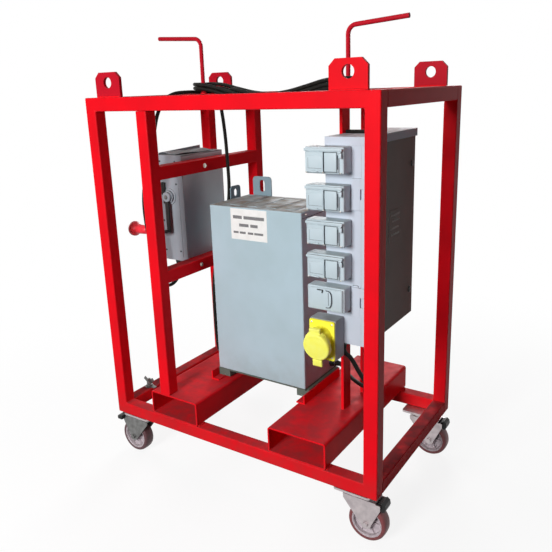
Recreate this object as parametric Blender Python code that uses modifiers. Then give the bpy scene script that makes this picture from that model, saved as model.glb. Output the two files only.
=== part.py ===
# A portable site transformer: a steel lifting cage on four braked castors, with
# fork pockets, lifting lugs and cable hooks. It carries a step-down transformer,
# a switch-fuse on its left, and a distribution enclosure with a column of
# weatherproof sockets on its right. X is the cage's width, Y its depth (the
# front is at -Y) and Z is up. The origin is on the floor under the cage's middle.

import bpy
import bmesh
import math
from mathutils import Matrix, Vector

# Running gap between touching pieces, and the overlap of pieces welded into one
GAP = 0.0003
WELD = 0.0005

# Cage of square tube
TUBE = 0.050
TUBE_CORNER = 0.004
CAGE_WIDTH = 1.200
CAGE_DEPTH = 0.710
CAGE_HEIGHT = 1.300
CASTOR_HEIGHT = 0.190

# Ladder that carries the switch-fuse, and how far its two cross rails' undersides
# are below the cage's top
LADDER_X = -0.317
LOWER_CROSS_DROP = 0.696
UPPER_CROSS_DROP = 0.300

# Rails that carry the cable hooks, and the flat bars behind the enclosure
HOOK_RAIL_X = 0.320
BAR_WIDTH = 0.055
BAR_THICKNESS = 0.010
FRONT_BAR_Y = -0.085
REAR_BAR_Y = 0.075

# Fork pockets
POCKET_WIDTH = 0.235
POCKET_HEIGHT = 0.100
POCKET_WALL = 0.006
POCKET_RADIUS = 0.010
LEFT_POCKET_X = -0.2745
RIGHT_POCKET_X = 0.2925

# Angle cleats welded on the pockets, which hold the transformer's feet
CLEAT_LEG = 0.037
CLEAT_WALL = 0.005
CLEAT_FRONT_Y = -0.151
CLEAT_REAR_Y = 0.133

# Lifting lugs
LUG_INSET = 0.110
LUG_WIDTH = 0.124
LUG_HEIGHT = 0.088
LUG_THICKNESS = 0.012
LUG_CHAMFER = 0.020
LUG_HOLE = 0.040
LUG_HOLE_Z = 0.051

# Cable hooks of bent rod
ROD = 0.016
HOOK_HEIGHT = 0.207
HOOK_BEND = 0.030
HOOK_ARM = 0.215
HOOK_RISE = 0.012

# Castors
WHEEL_DIAMETER = 0.140
WHEEL_WIDTH = 0.045
HUB_LENGTH = 0.050
HUB_DIAMETER = 0.044
TYRE_THICKNESS = 0.014
WEB_THICKNESS = 0.012
AXLE = 0.012
AXLE_CLEARANCE = 0.0004
AXLE_NUT = 0.019
AXLE_NUT_LENGTH = 0.009
CASTOR_TRAIL = 0.045
CASTOR_INSET_X = 0.095
CASTOR_INSET_Y = 0.052
PLATE_LENGTH = 0.135
PLATE_WIDTH = 0.104
PLATE_THICKNESS = 0.008
PLATE_CORNER = 0.010
RACE_DIAMETER = 0.072
RACE_HEIGHT = 0.020
FORK_STEEL = 0.004
CROWN_THICKNESS = 0.005
FORK_BACK = 0.040
PEDAL_PIN_X = 0.088
PEDAL_PIN_Z = 0.150
PEDAL_PIN = 0.008
PEDAL_REACH = 0.026
PEDAL_RISE = 0.017
PEDAL_DROP = 0.020
PEDAL_WIDTH = 0.042

# Transformer
CASE_LEFT = -0.225
CASE_RIGHT = 0.192
CASE_FRONT = -0.118
CASE_REAR = 0.145
CASE_HEIGHT = 0.689
FOOT_HEIGHT = 0.034
FOOT_INSET = 0.012
BASE_THICKNESS = 0.004
CASE_LUG_THICKNESS = 0.004
SIDE_LUG_WIDTH = 0.066
SIDE_LUG_Y = 0.055
SIDE_LUG_RISE = 0.050
REAR_LUG_WIDTH = 0.092
REAR_LUG_X = -0.155
REAR_LUG_RISE = 0.078
CASE_LUG_DEPTH = 0.070
LEAD_ENTRY_Y = 0.090
LEAD_ENTRY_Z = 0.228

# Distribution enclosure, whose door faces +X. A drop is measured down from the
# cage's top, a rise up from the box's foot, and a share down the box's height.
BOX_FRONT = -0.230
BOX_LENGTH = 0.400
BOX_DEPTH = 0.126
BOX_DOOR = 0.017
BOX_DROP = 0.142
BOX_HEIGHT = 0.683
BOX_WALL = 0.0025
HOOD_HEIGHT = 0.0235
HOOD_OVERHANG = 0.003
BOX_HINGE_RISE = (0.155, 0.510)
BOX_HINGE_LENGTH = 0.100
HINGE_LEAF = 0.030
HINGE_THICKNESS = 0.003
HINGE_PIN = 0.008
BREAKERS = 12
BREAKER_PITCH = 0.0175
BREAKER_HEIGHT = 0.085
BREAKER_ROW_RISE = 0.345
BREAKER_BODY_DEPTH = 0.044
BREAKER_NOSE_DEPTH = 0.062
BREAKER_NOSE_HEIGHT = 0.045
BREAKER_GROOVE = 0.0012
TOGGLE_WIDTH = 0.011
TOGGLE_HEIGHT = 0.010
TOGGLE_REACH = 0.012
BOX_LEAD_X = 0.395
BOX_LEAD_Y = -0.190

# Switch-fuse, whose door faces -X
SWITCH_FRONT_Y = -0.133
SWITCH_REAR_Y = 0.125
SWITCH_DROP = 0.230
SWITCH_HEIGHT = 0.430
SWITCH_DEPTH = 0.120
SWITCH_DOOR = 0.024
SWITCH_WALL = 0.0025
SWITCH_HINGE_RISE = (0.075, 0.355)
HANDLE_X = -0.416
HANDLE_RISE = 0.265
BOSS_DIAMETER = 0.048
BOSS_HEIGHT = 0.012
HANDLE_DROP = 0.138
HANDLE_REACH = 0.129
HANDLE_OFFSET = 0.047
HANDLE_ROD = 0.014
GRIP_DIAMETER = 0.056
GRIP_LENGTH = 0.055
FUSE_BASE_DEPTH = 0.030
FUSE_BASE_WIDTH = 0.190
FUSE_BASE_HEIGHT = 0.240
FUSE_BASE_RISE = 0.090
FUSE_WIDTH = 0.044
FUSE_HEIGHT = 0.100
FUSE_DEPTH = 0.045
FUSE_PITCH = 0.100
SWITCH_GLAND_X = -0.425
SWITCH_GLAND_Y = -0.095
SUPPLY_LOOP = 0.062
TAIL_X = -0.250

# Socket column on the enclosure's front
SOCKET_X = 0.3795
SOCKET_WIDTH = 0.137
SOCKET_HEIGHT = 0.083
SOCKET_DEPTH = 0.060
SOCKET_CORNER = 0.004
SOCKET_SHARE = (0.0959, 0.26867, 0.43265, 0.5959)
SPUR_SHARE = 0.7555
FASCIA_DEPTH = 0.008
LID_WIDTH = 0.066
LID_HEIGHT = 0.064
LID_SIDE_MARGIN = 0.006
HINGE_HOOD_HEIGHT = 0.010
SWITCH_PAD_WIDTH = 0.048

# Yellow round socket on its own box
YELLOW_X = 0.371
YELLOW_SHARE = 0.9612
YELLOW_WIDTH = 0.098
YELLOW_HEIGHT = 0.141
FLANGE_MARGIN = 0.002
FLANGE_THICKNESS = 0.006
BARREL_TILT = math.radians(20)
BARREL_DIAMETER = 0.074
BARREL_LENGTH = 0.022
BARREL_RISE = 0.004
RECESS_DIAMETER = 0.060
RECESS_DEPTH = 0.012
CAP_DIAMETER = 0.090
CAP_THICKNESS = 0.016
CAP_HINGE_RISE = 0.052
CAP_TAB_WIDTH = 0.032
CAP_TAB_LENGTH = 0.018

# Cables
CABLE = 0.014
LEAD = 0.016
GLAND_DIAMETER = 0.028
GLAND_LENGTH = 0.022
HANK_TURNS = 3
HANK_BAND = 0.015
HANK_SAG = 0.044
HANK_END_RADIUS = 0.042
HANK_PAST_ROD = 0.026
HANK_WAIST = 0.017
HANK_STEPS = 14

# Heights and faces that follow from the sizes above
FOOT_Z = CASTOR_HEIGHT
TOP_Z = FOOT_Z + CAGE_HEIGHT
HALF_WIDTH = CAGE_WIDTH / 2
HALF_DEPTH = CAGE_DEPTH / 2
INNER_DEPTH = HALF_DEPTH - TUBE
POCKET_FOOT_Z = FOOT_Z + TUBE + GAP
POCKET_TOP_Z = POCKET_FOOT_Z + POCKET_HEIGHT
UNDER_TOP_Z = TOP_Z - TUBE
CLEAT_TOP_Z = POCKET_TOP_Z + CLEAT_WALL
CASE_FOOT_Z = CLEAT_TOP_Z + GAP + FOOT_HEIGHT + BASE_THICKNESS + GAP
CASE_TOP_Z = CASE_FOOT_Z + CASE_HEIGHT
BOX_BACK_X = HOOK_RAIL_X + TUBE / 2 + BAR_THICKNESS + GAP
BOX_RIM_X = BOX_BACK_X + BOX_DEPTH
BOX_DOOR_X = BOX_RIM_X + GAP
BOX_FACE_X = BOX_DOOR_X + BOX_DOOR
BOX_REAR = BOX_FRONT + BOX_LENGTH
SOCKET_BACK_Y = BOX_FRONT - GAP
SOCKET_FACE_Y = SOCKET_BACK_Y - SOCKET_DEPTH + FASCIA_DEPTH
SOCKET_FRONT_Y = SOCKET_BACK_Y - SOCKET_DEPTH
SWITCH_BACK_X = LADDER_X - TUBE / 2 - GAP
SWITCH_RIM_X = SWITCH_BACK_X - SWITCH_DEPTH
SWITCH_FACE_X = SWITCH_RIM_X - GAP - SWITCH_DOOR
BOX_TOP_Z = TOP_Z - BOX_DROP
BOX_FOOT_Z = BOX_TOP_Z - BOX_HEIGHT
YELLOW_Z = BOX_TOP_Z - YELLOW_SHARE * BOX_HEIGHT
SWITCH_TOP_Z = TOP_Z - SWITCH_DROP
SWITCH_FOOT_Z = SWITCH_TOP_Z - SWITCH_HEIGHT
SWITCH_GLAND_Z = SWITCH_FOOT_Z - GLAND_LENGTH
HANDLE_Z = SWITCH_FOOT_Z + HANDLE_RISE

# Colours as the photograph shows them
RED = (0.70, 0.012, 0.027)
GALVANISED = (0.52, 0.53, 0.55)
PALE_BLUE = (0.43, 0.56, 0.62)
LIGHT_GREY = (0.58, 0.65, 0.67)
COOL_GREY = (0.60, 0.63, 0.71)
MID_GREY = (0.24, 0.27, 0.30)
YELLOW = (0.91, 0.82, 0.04)
BLACK = (0.02, 0.02, 0.022)
TYRE_RED = (0.25, 0.03, 0.03)
BREAKER_WHITE = (0.75, 0.75, 0.73)


for old in list(bpy.data.objects):
    bpy.data.objects.remove(old, do_unlink=True)

parts = bpy.data.collections.new("step_down_transformer")
cutters = bpy.data.collections.new("cutters")
bpy.context.scene.collection.children.link(parts)
bpy.context.scene.collection.children.link(cutters)


def finish(name, colour, roughness=0.45, metallic=0.0):
    """A painted or bare surface in one colour."""
    material = bpy.data.materials.new(name)
    material.use_nodes = True
    surface = material.node_tree.nodes["Principled BSDF"]
    surface.inputs["Base Color"].default_value = (*colour, 1.0)
    surface.inputs["Roughness"].default_value = roughness
    surface.inputs["Metallic"].default_value = metallic
    return material


def new_part(name, mesh, material, location=(0, 0, 0), parent=None):
    """A named sub-part in the parts collection."""
    part = bpy.data.objects.new(name, mesh)
    part.location = location
    part.parent = parent
    if not mesh.materials:
        mesh.materials.append(material)
    parts.objects.link(part)
    return part


def as_tool(tool):
    """Moves a part to the cutters, where it only shapes another piece."""
    parts.objects.unlink(tool)
    cutters.objects.link(tool)
    tool.hide_render = True
    tool.display_type = 'WIRE'
    return tool


def combine(part, tool, operation):
    """Cuts a tool out of a part, or welds it on."""
    as_tool(tool)
    boolean = part.modifiers.new(tool.name, 'BOOLEAN')
    boolean.operation = operation
    boolean.object = tool
    return part


def cut(part, tool):
    return combine(part, tool, 'DIFFERENCE')


def weld(part, tool):
    return combine(part, tool, 'UNION')


def round_edges(part, width, segments=2, angle=40):
    """Rounds every edge sharper than the angle."""
    bevel = part.modifiers.new("rounded edges", 'BEVEL')
    bevel.width = width
    bevel.segments = segments
    bevel.limit_method = 'ANGLE'
    bevel.angle_limit = math.radians(angle)
    return part


def box(name, x, y, z, material, parent=None):
    """A block between two values along each axis."""
    mesh = bpy.data.meshes.new(name)
    shape = bmesh.new()
    bmesh.ops.create_cube(shape, size=1.0)
    size = (x[1] - x[0], y[1] - y[0], z[1] - z[0])
    bmesh.ops.scale(shape, vec=size, verts=shape.verts)
    shape.to_mesh(mesh)
    shape.free()
    centre = ((x[0] + x[1]) / 2, (y[0] + y[1]) / 2, (z[0] + z[1]) / 2)
    return new_part(name, mesh, material, centre, parent)


def open_box(name, x, y, z, open_side, wall, material):
    """A sheet-metal box that is open on one side."""
    part = box(name, x, y, z, material)
    shape = bmesh.new()
    shape.from_mesh(part.data)
    side = Vector(open_side)
    facing = [face for face in shape.faces if face.normal.dot(side) > 0.9]
    bmesh.ops.delete(shape, geom=facing, context='FACES')
    shape.to_mesh(part.data)
    shape.free()
    solidify = part.modifiers.new("sheet", 'SOLIDIFY')
    solidify.thickness = wall
    solidify.offset = -1
    solidify.use_even_offset = True
    return part


def cylinder(name, radius, length, centre, axis, material, parent=None, sides=32):
    """A round bar along X, Y or Z."""
    mesh = bpy.data.meshes.new(name)
    shape = bmesh.new()
    bmesh.ops.create_cone(shape, cap_ends=True, segments=sides,
                          radius1=radius, radius2=radius, depth=length)
    turn = {'X': Matrix.Rotation(math.pi / 2, 3, 'Y'),
            'Y': Matrix.Rotation(math.pi / 2, 3, 'X'),
            'Z': Matrix.Identity(3)}[axis]
    bmesh.ops.rotate(shape, matrix=turn, verts=shape.verts)
    shape.to_mesh(mesh)
    shape.free()
    mesh.shade_smooth()
    mesh.set_sharp_from_angle(angle=math.radians(40))
    return new_part(name, mesh, material, centre, parent)


def rectangle(u, v):
    """The corners of a rectangle between two values along each axis."""
    return [(u[0], v[0]), (u[1], v[0]), (u[1], v[1]), (u[0], v[1])]


def rounded_rectangle(u, v, radius, steps=3):
    """A rectangle whose corners are arcs."""
    loop = []
    centres = ((u[1] - radius, v[0] + radius, -90), (u[1] - radius, v[1] - radius, 0),
               (u[0] + radius, v[1] - radius, 90), (u[0] + radius, v[0] + radius, 180))
    for cu, cv, start in centres:
        for step in range(steps + 1):
            angle = math.radians(start + 90 * step / steps)
            loop.append((cu + radius * math.cos(angle), cv + radius * math.sin(angle)))
    return loop


def circle(u, v, radius, steps=32):
    """A circle as a loop of points."""
    turns = [2 * math.pi * step / steps for step in range(steps)]
    return [(u + radius * math.cos(a), v + radius * math.sin(a)) for a in turns]


def curve_mesh(name, curve):
    """The closed mesh of a curve object, with its caps welded on."""
    holder = bpy.data.objects.new(name, curve)
    bpy.context.scene.collection.objects.link(holder)
    depsgraph = bpy.context.evaluated_depsgraph_get()
    mesh = bpy.data.meshes.new_from_object(holder.evaluated_get(depsgraph))
    bpy.data.objects.remove(holder)
    bpy.data.curves.remove(curve)
    mesh.name = name
    shape = bmesh.new()
    shape.from_mesh(mesh)
    bmesh.ops.remove_doubles(shape, verts=shape.verts, dist=0.00001)
    bmesh.ops.recalc_face_normals(shape, faces=shape.faces)
    shape.to_mesh(mesh)
    shape.free()
    return mesh


def plate(name, loops, span, axis, material, parent=None, rim=0.0):
    """A flat outline with holes, as thick as the span along its axis.

    The loops hold (x, z) for axis Y, (y, z) for axis X and (x, y) for axis Z.
    The rim is the radius of the edges round both faces.
    """
    curve = bpy.data.curves.new(name, 'CURVE')
    curve.dimensions = '2D'
    curve.fill_mode = 'BOTH'
    curve.extrude = (span[1] - span[0]) / 2 - rim
    curve.bevel_depth = rim
    curve.bevel_resolution = 1
    curve.offset = -rim
    for loop in loops:
        spline = curve.splines.new('POLY')
        spline.points.add(len(loop) - 1)
        for point, (u, v) in zip(spline.points, loop):
            point.co = (u, v, 0, 1)
        spline.use_cyclic_u = True
    mesh = curve_mesh(name, curve)
    upright = {'X': Matrix(((0, 0, 1), (1, 0, 0), (0, 1, 0))),
               'Y': Matrix(((1, 0, 0), (0, 0, -1), (0, 1, 0))),
               'Z': Matrix.Identity(3)}[axis]
    mesh.transform(upright.to_4x4())
    middle = (span[0] + span[1]) / 2
    place = {'X': (middle, 0, 0), 'Y': (0, middle, 0), 'Z': (0, 0, middle)}[axis]
    return new_part(name, mesh, material, place, parent)


def rod(name, points, radius, material, resolution=3, parent=None):
    """A round bar or cable along a route of points."""
    curve = bpy.data.curves.new(name, 'CURVE')
    curve.dimensions = '3D'
    curve.bevel_depth = radius
    curve.bevel_resolution = resolution
    curve.use_fill_caps = True
    spline = curve.splines.new('POLY')
    spline.points.add(len(points) - 1)
    for point, place in zip(spline.points, points):
        point.co = (*place, 1)
    mesh = curve_mesh(name, curve)
    mesh.shade_smooth()
    mesh.set_sharp_from_angle(angle=math.radians(50))
    return new_part(name, mesh, material, parent=parent)


def turned(name, profile, material, parent=None, centre=(0, 0, 0), steps=32, closed=False):
    """A profile of (radius, height) turned about Z, listed top to bottom."""
    mesh = bpy.data.meshes.new(name)
    shape = bmesh.new()
    corners = [shape.verts.new((radius, 0, height)) for radius, height in profile]
    for first, second in zip(corners, corners[1:]):
        shape.edges.new((first, second))
    if closed:
        shape.edges.new((corners[-1], corners[0]))
    shape.to_mesh(mesh)
    shape.free()
    part = new_part(name, mesh, material, centre, parent)
    screw = part.modifiers.new("turned", 'SCREW')
    screw.steps = steps
    screw.render_steps = steps
    screw.use_merge_vertices = True
    screw.merge_threshold = 0.00001
    screw.use_smooth_shade = True
    return part


def smooth_route(stops, spacing):
    """Points along a smooth curve through the stops, evenly spaced."""
    knots = [Vector(stop) for stop in stops]
    padded = [2 * knots[0] - knots[1]] + knots + [2 * knots[-1] - knots[-2]]
    fine = []
    for p0, p1, p2, p3 in zip(padded, padded[1:], padded[2:], padded[3:]):
        for step in range(20):
            t = step / 20
            fine.append(0.5 * (2 * p1 + (p2 - p0) * t + (2 * p0 - 5 * p1 + 4 * p2 - p3) * t ** 2
                               + (3 * p1 - p0 - 3 * p2 + p3) * t ** 3))
    fine.append(knots[-1])
    lengths = [(b - a).length for a, b in zip(fine, fine[1:])]
    count = max(2, round(sum(lengths) / spacing))
    step_length = sum(lengths) / count
    route = [fine[0]]
    travelled = 0.0
    for a, b, length in zip(fine, fine[1:], lengths):
        while len(route) < count and travelled + length >= step_length * len(route):
            share = (step_length * len(route) - travelled) / length
            route.append(a.lerp(b, share))
        travelled += length
    route.append(fine[-1])
    return route


def empty(name, location, rotation=(0, 0, 0), parent=None):
    """A pivot that other pieces hang on."""
    pivot = bpy.data.objects.new(name, None)
    pivot.location = location
    pivot.rotation_euler = rotation
    pivot.parent = parent
    pivot.empty_display_size = 0.05
    cutters.objects.link(pivot)
    return pivot


red_paint = finish("red paint", RED, 0.35)
galvanised_steel = finish("galvanised steel", GALVANISED, 0.4, 0.9)
case_paint = finish("pale blue-grey paint", PALE_BLUE, 0.5)
socket_plastic = finish("light grey plastic", LIGHT_GREY, 0.5)
enclosure_paint = finish("enclosure paint", COOL_GREY, 0.45)
switch_paint = finish("switch-fuse paint", MID_GREY, 0.45)
yellow_plastic = finish("yellow plastic", YELLOW, 0.4)
black_rubber = finish("black rubber", BLACK, 0.6)
tyre_rubber = finish("tyre rubber", TYRE_RED, 0.55)
breaker_plastic = finish("breaker plastic", BREAKER_WHITE, 0.5)


# The cage: two upright rings joined by four side rails

def cage_ring(name, y):
    outer = rectangle((-HALF_WIDTH, HALF_WIDTH), (FOOT_Z, TOP_Z))
    window = rectangle((-HALF_WIDTH + TUBE, HALF_WIDTH - TUBE), (FOOT_Z + TUBE, UNDER_TOP_Z))
    ring = plate(name, [outer, window], y, 'Y', red_paint)
    return round_edges(ring, TUBE_CORNER)


def tube_along_depth(name, x, z):
    section = rounded_rectangle((x - TUBE / 2, x + TUBE / 2), (z, z + TUBE), TUBE_CORNER)
    return plate(name, [section], (-INNER_DEPTH + GAP, INNER_DEPTH - GAP), 'Y', red_paint)


cage_ring("front_frame", (-HALF_DEPTH, -INNER_DEPTH))
cage_ring("rear_frame", (INNER_DEPTH, HALF_DEPTH))
for side, name in ((-1, "left"), (1, "right")):
    rail_x = side * (HALF_WIDTH - TUBE / 2)
    tube_along_depth(f"{name}_bottom_rail", rail_x, FOOT_Z)
    tube_along_depth(f"{name}_top_rail", rail_x, UNDER_TOP_Z)


# Fork pockets, each with the angle cleat that a transformer foot is bolted to

def fork_pocket(name, x, upstand_x, side):
    """A pocket on the bottom rails. The cleat's leg points away from side."""
    half = POCKET_WIDTH / 2
    outer = rounded_rectangle((x - half, x + half), (POCKET_FOOT_Z, POCKET_TOP_Z),
                              POCKET_RADIUS)
    inner = rounded_rectangle((x - half + POCKET_WALL, x + half - POCKET_WALL),
                              (POCKET_FOOT_Z + POCKET_WALL, POCKET_TOP_Z - POCKET_WALL),
                              POCKET_RADIUS - POCKET_WALL)
    pocket = plate(name, [outer, inner], (-HALF_DEPTH, HALF_DEPTH), 'Y', red_paint)
    bottom = POCKET_TOP_Z - WELD
    outside = upstand_x + side * CLEAT_WALL
    angle = [(outside, bottom), (outside, POCKET_TOP_Z + CLEAT_LEG),
             (upstand_x, POCKET_TOP_Z + CLEAT_LEG), (upstand_x, CLEAT_TOP_Z),
             (outside - side * CLEAT_LEG, CLEAT_TOP_Z), (outside - side * CLEAT_LEG, bottom)]
    cleat = plate(f"{name}_cleat", [angle], (CLEAT_FRONT_Y, CLEAT_REAR_Y), 'Y', red_paint)
    return weld(pocket, cleat)


LEFT_UPSTAND_X = CASE_LEFT - FOOT_INSET + WELD
RIGHT_UPSTAND_X = CASE_RIGHT + FOOT_INSET - WELD
fork_pocket("left_fork_pocket", LEFT_POCKET_X, LEFT_UPSTAND_X, -1)
fork_pocket("right_fork_pocket", RIGHT_POCKET_X, RIGHT_UPSTAND_X, 1)


# Ladder for the switch-fuse: two posts and two cross rails, cut from one outline

def switch_ladder():
    foot = POCKET_TOP_Z + GAP
    head = UNDER_TOP_Z - GAP
    lower = (TOP_Z - LOWER_CROSS_DROP, TOP_Z - LOWER_CROSS_DROP + TUBE)
    upper = (TOP_Z - UPPER_CROSS_DROP, TOP_Z - UPPER_CROSS_DROP + TUBE)
    outer = [(-HALF_DEPTH, foot), (-INNER_DEPTH, foot), (-INNER_DEPTH, lower[0]),
             (INNER_DEPTH, lower[0]), (INNER_DEPTH, foot), (HALF_DEPTH, foot),
             (HALF_DEPTH, head), (INNER_DEPTH, head), (INNER_DEPTH, upper[1]),
             (-INNER_DEPTH, upper[1]), (-INNER_DEPTH, head), (-HALF_DEPTH, head)]
    window = rectangle((-INNER_DEPTH, INNER_DEPTH), (lower[1], upper[0]))
    span = (LADDER_X - TUBE / 2, LADDER_X + TUBE / 2)
    return plate("switch_ladder", [outer, window], span, 'X', red_paint, rim=TUBE_CORNER)


switch_ladder()


# Rails under the cable hooks; the right one also holds the enclosure's two bars

tube_along_depth("left_hook_rail", LADDER_X, UNDER_TOP_Z)
stand = tube_along_depth("enclosure_stand", HOOK_RAIL_X, UNDER_TOP_Z)
for bar_name, bar_y in (("front_bar", FRONT_BAR_Y), ("rear_bar", REAR_BAR_Y)):
    bar_x = HOOK_RAIL_X + TUBE / 2
    bar = box(bar_name, (bar_x - WELD, bar_x + BAR_THICKNESS),
              (bar_y - BAR_WIDTH / 2, bar_y + BAR_WIDTH / 2),
              (POCKET_TOP_Z + GAP, TOP_Z - 2 * TUBE_CORNER), red_paint)
    weld(stand, bar)


# Cable hooks: a rod bent over to point outwards

def cable_hook(name, x, side):
    foot_z = TOP_Z + GAP
    arm_z = TOP_Z + HOOK_HEIGHT
    points = [(x, 0, foot_z)]
    for step in range(7):
        angle = math.radians(15 * step)
        points.append((x + side * HOOK_BEND * (1 - math.cos(angle)), 0,
                       arm_z - HOOK_BEND * (1 - math.sin(angle))))
    points.append((x + side * HOOK_ARM, 0, arm_z + HOOK_RISE))
    return rod(name, points, ROD / 2, red_paint)


cable_hook("left_cable_hook", LADDER_X, -1)
cable_hook("right_cable_hook", HOOK_RAIL_X, 1)


# Lifting lugs: plates with chamfered shoulders and a round eye

def lifting_lug(name, x, y):
    foot_z = TOP_Z + GAP
    top_z = foot_z + LUG_HEIGHT
    half = LUG_WIDTH / 2
    outline = [(x - half, foot_z), (x + half, foot_z), (x + half, top_z - LUG_CHAMFER),
               (x + half - LUG_CHAMFER, top_z), (x - half + LUG_CHAMFER, top_z),
               (x - half, top_z - LUG_CHAMFER)]
    eye = circle(x, foot_z + LUG_HOLE_Z, LUG_HOLE / 2, 24)
    span = (y - LUG_THICKNESS / 2, y + LUG_THICKNESS / 2)
    return plate(name, [outline, eye], span, 'Y', red_paint)


for end, depth_sign in (("front", -1), ("rear", 1)):
    for hand, width_sign in (("left", -1), ("right", 1)):
        lifting_lug(f"lifting_lug_{end}_{hand}", width_sign * (HALF_WIDTH - LUG_INSET),
                    depth_sign * (HALF_DEPTH - TUBE / 2))


# Castors. Each is built on a pivot at the swivel axis, with +X where it trails.

RACE_FOOT_Z = FOOT_Z - GAP - PLATE_THICKNESS - RACE_HEIGHT
CROWN_TOP_Z = RACE_FOOT_Z - GAP
AXLE_Z = WHEEL_DIAMETER / 2
LEG_INNER = HUB_LENGTH / 2 + GAP
LEG_OUTER = LEG_INNER + FORK_STEEL


def castor_plate(name, pivot):
    """The top plate with its four bolt slots and the swivel race below it."""
    half_length = PLATE_LENGTH / 2
    half_width = PLATE_WIDTH / 2
    top = FOOT_Z - GAP
    outline = rounded_rectangle((-half_length, half_length), (-half_width, half_width),
                                PLATE_CORNER)
    top_plate = plate(name, [outline], (top - PLATE_THICKNESS, top), 'Z',
                      galvanised_steel, pivot)
    race_profile = [(0, top - PLATE_THICKNESS + WELD), (RACE_DIAMETER / 2, top - PLATE_THICKNESS + WELD),
                    (RACE_DIAMETER / 2, RACE_FOOT_Z + 0.006),
                    (RACE_DIAMETER / 2 - 0.006, RACE_FOOT_Z), (0, RACE_FOOT_Z)]
    race = turned(f"{name}_race", race_profile, galvanised_steel, pivot, steps=20)
    return weld(top_plate, race)


def fork_leg_outline():
    """One leg seen from the side, wide at the crown and round at the axle."""
    end_radius = AXLE * 1.6
    top = CROWN_TOP_Z - CROWN_THICKNESS + WELD
    leg = [(-FORK_BACK, top), (-FORK_BACK, top - 0.011)]
    for step in range(9):
        angle = math.radians(205 + 155 * step / 8)
        leg.append((CASTOR_TRAIL + end_radius * math.cos(angle),
                    AXLE_Z + end_radius * math.sin(angle)))
    leg += [(PEDAL_PIN_X + 0.009, PEDAL_PIN_Z - 0.012), (PEDAL_PIN_X + 0.009, top)]
    return leg


def castor_fork(name, pivot):
    """Crown, two legs, the axle with its nuts and the pedal's pin, pressed into one."""
    half_width = LEG_OUTER + WELD
    crown = box(name, (-FORK_BACK - WELD, PEDAL_PIN_X - PEDAL_PIN), (-half_width, half_width),
                (CROWN_TOP_Z - CROWN_THICKNESS, CROWN_TOP_Z), galvanised_steel, pivot)
    for side, sign in (("near", -1), ("far", 1)):
        span = sorted((sign * LEG_INNER, sign * LEG_OUTER))
        leg = plate(f"{name}_{side}_leg", [fork_leg_outline()], span, 'Y',
                    galvanised_steel, pivot)
        weld(crown, leg)
        nut = cylinder(f"{name}_{side}_nut", AXLE_NUT / 2, AXLE_NUT_LENGTH,
                       (CASTOR_TRAIL, sign * (LEG_OUTER + AXLE_NUT_LENGTH / 2 - WELD), AXLE_Z),
                       'Y', galvanised_steel, pivot, sides=6)
        weld(crown, nut)
    axle = cylinder(f"{name}_axle", AXLE / 2, 2 * LEG_OUTER - WELD,
                    (CASTOR_TRAIL, 0, AXLE_Z), 'Y', galvanised_steel, pivot, sides=16)
    weld(crown, axle)
    pin = cylinder(f"{name}_pedal_pin", PEDAL_PIN / 2, 2 * LEG_OUTER - WELD,
                   (PEDAL_PIN_X, 0, PEDAL_PIN_Z), 'Y', galvanised_steel, pivot, sides=12)
    return weld(crown, pin)


def castor_wheel(name, pivot):
    """Hub, web and tyre turned in one, with a bore for the axle."""
    wheel_axis = empty(f"{name}_axis", (CASTOR_TRAIL, 0, AXLE_Z),
                       (math.pi / 2, 0, 0), pivot)
    bore = AXLE / 2 + AXLE_CLEARANCE
    hub = HUB_DIAMETER / 2
    rim = WHEEL_DIAMETER / 2 - TYRE_THICKNESS
    tread = WHEEL_DIAMETER / 2
    half = WHEEL_WIDTH / 2
    upper = [(bore, HUB_LENGTH / 2), (hub - 0.004, HUB_LENGTH / 2), (hub, WEB_THICKNESS / 2 + 0.006),
             (rim - 0.012, WEB_THICKNESS / 2), (rim - 0.004, half - 0.004), (rim, half),
             (tread - 0.007, half), (tread, half - 0.010)]
    lower = [(radius, -height) for radius, height in reversed(upper)]
    return turned(name, upper + lower, tyre_rubber, wheel_axis, steps=24, closed=True)


def brake_pedal(name, pivot):
    """A thick foot pad that tips about a pin over the tyre."""
    pin_axis = empty(f"{name}_axis", (PEDAL_PIN_X, 0, PEDAL_PIN_Z), (0, 0, 0), pivot)
    eye = PEDAL_PIN / 2 + AXLE_CLEARANCE
    hub = eye + 0.003
    outline = []
    for step in range(8):
        angle = math.radians(110 + 150 * step / 7)
        outline.append((hub * math.cos(angle), hub * math.sin(angle)))
    outline += [(PEDAL_REACH * 0.55, -PEDAL_DROP), (PEDAL_REACH * 0.85, -PEDAL_DROP * 0.8),
                (PEDAL_REACH, -PEDAL_DROP * 0.2), (PEDAL_REACH * 0.9, PEDAL_RISE * 0.6),
                (PEDAL_REACH * 0.55, PEDAL_RISE), (PEDAL_REACH * 0.25, PEDAL_RISE * 0.75)]
    half = PEDAL_WIDTH / 2
    return plate(name, [outline, circle(0, 0, eye, 16)], (-half, half), 'Y',
                 black_rubber, pin_axis)


for end, depth_sign in (("front", -1), ("rear", 1)):
    for hand, width_sign in (("left", -1), ("right", 1)):
        corner = f"{end}_{hand}"
        heading = 0 if width_sign > 0 else math.pi
        swivel = empty(f"castor_{corner}_swivel",
                       (width_sign * (HALF_WIDTH - CASTOR_INSET_X),
                        depth_sign * (HALF_DEPTH - CASTOR_INSET_Y), 0), (0, 0, heading))
        castor_plate(f"castor_plate_{corner}", swivel)
        castor_fork(f"castor_fork_{corner}", swivel)
        castor_wheel(f"castor_wheel_{corner}", swivel)
        brake_pedal(f"brake_pedal_{corner}", swivel)


# Transformer: a closed sheet case on a base plate with two feet, and two eyes

def gland(name, centre, axis, length, material):
    """A round cable gland, joined to the wall behind it."""
    return cylinder(name, GLAND_DIAMETER / 2, length, centre, axis, material, sides=12)


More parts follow.
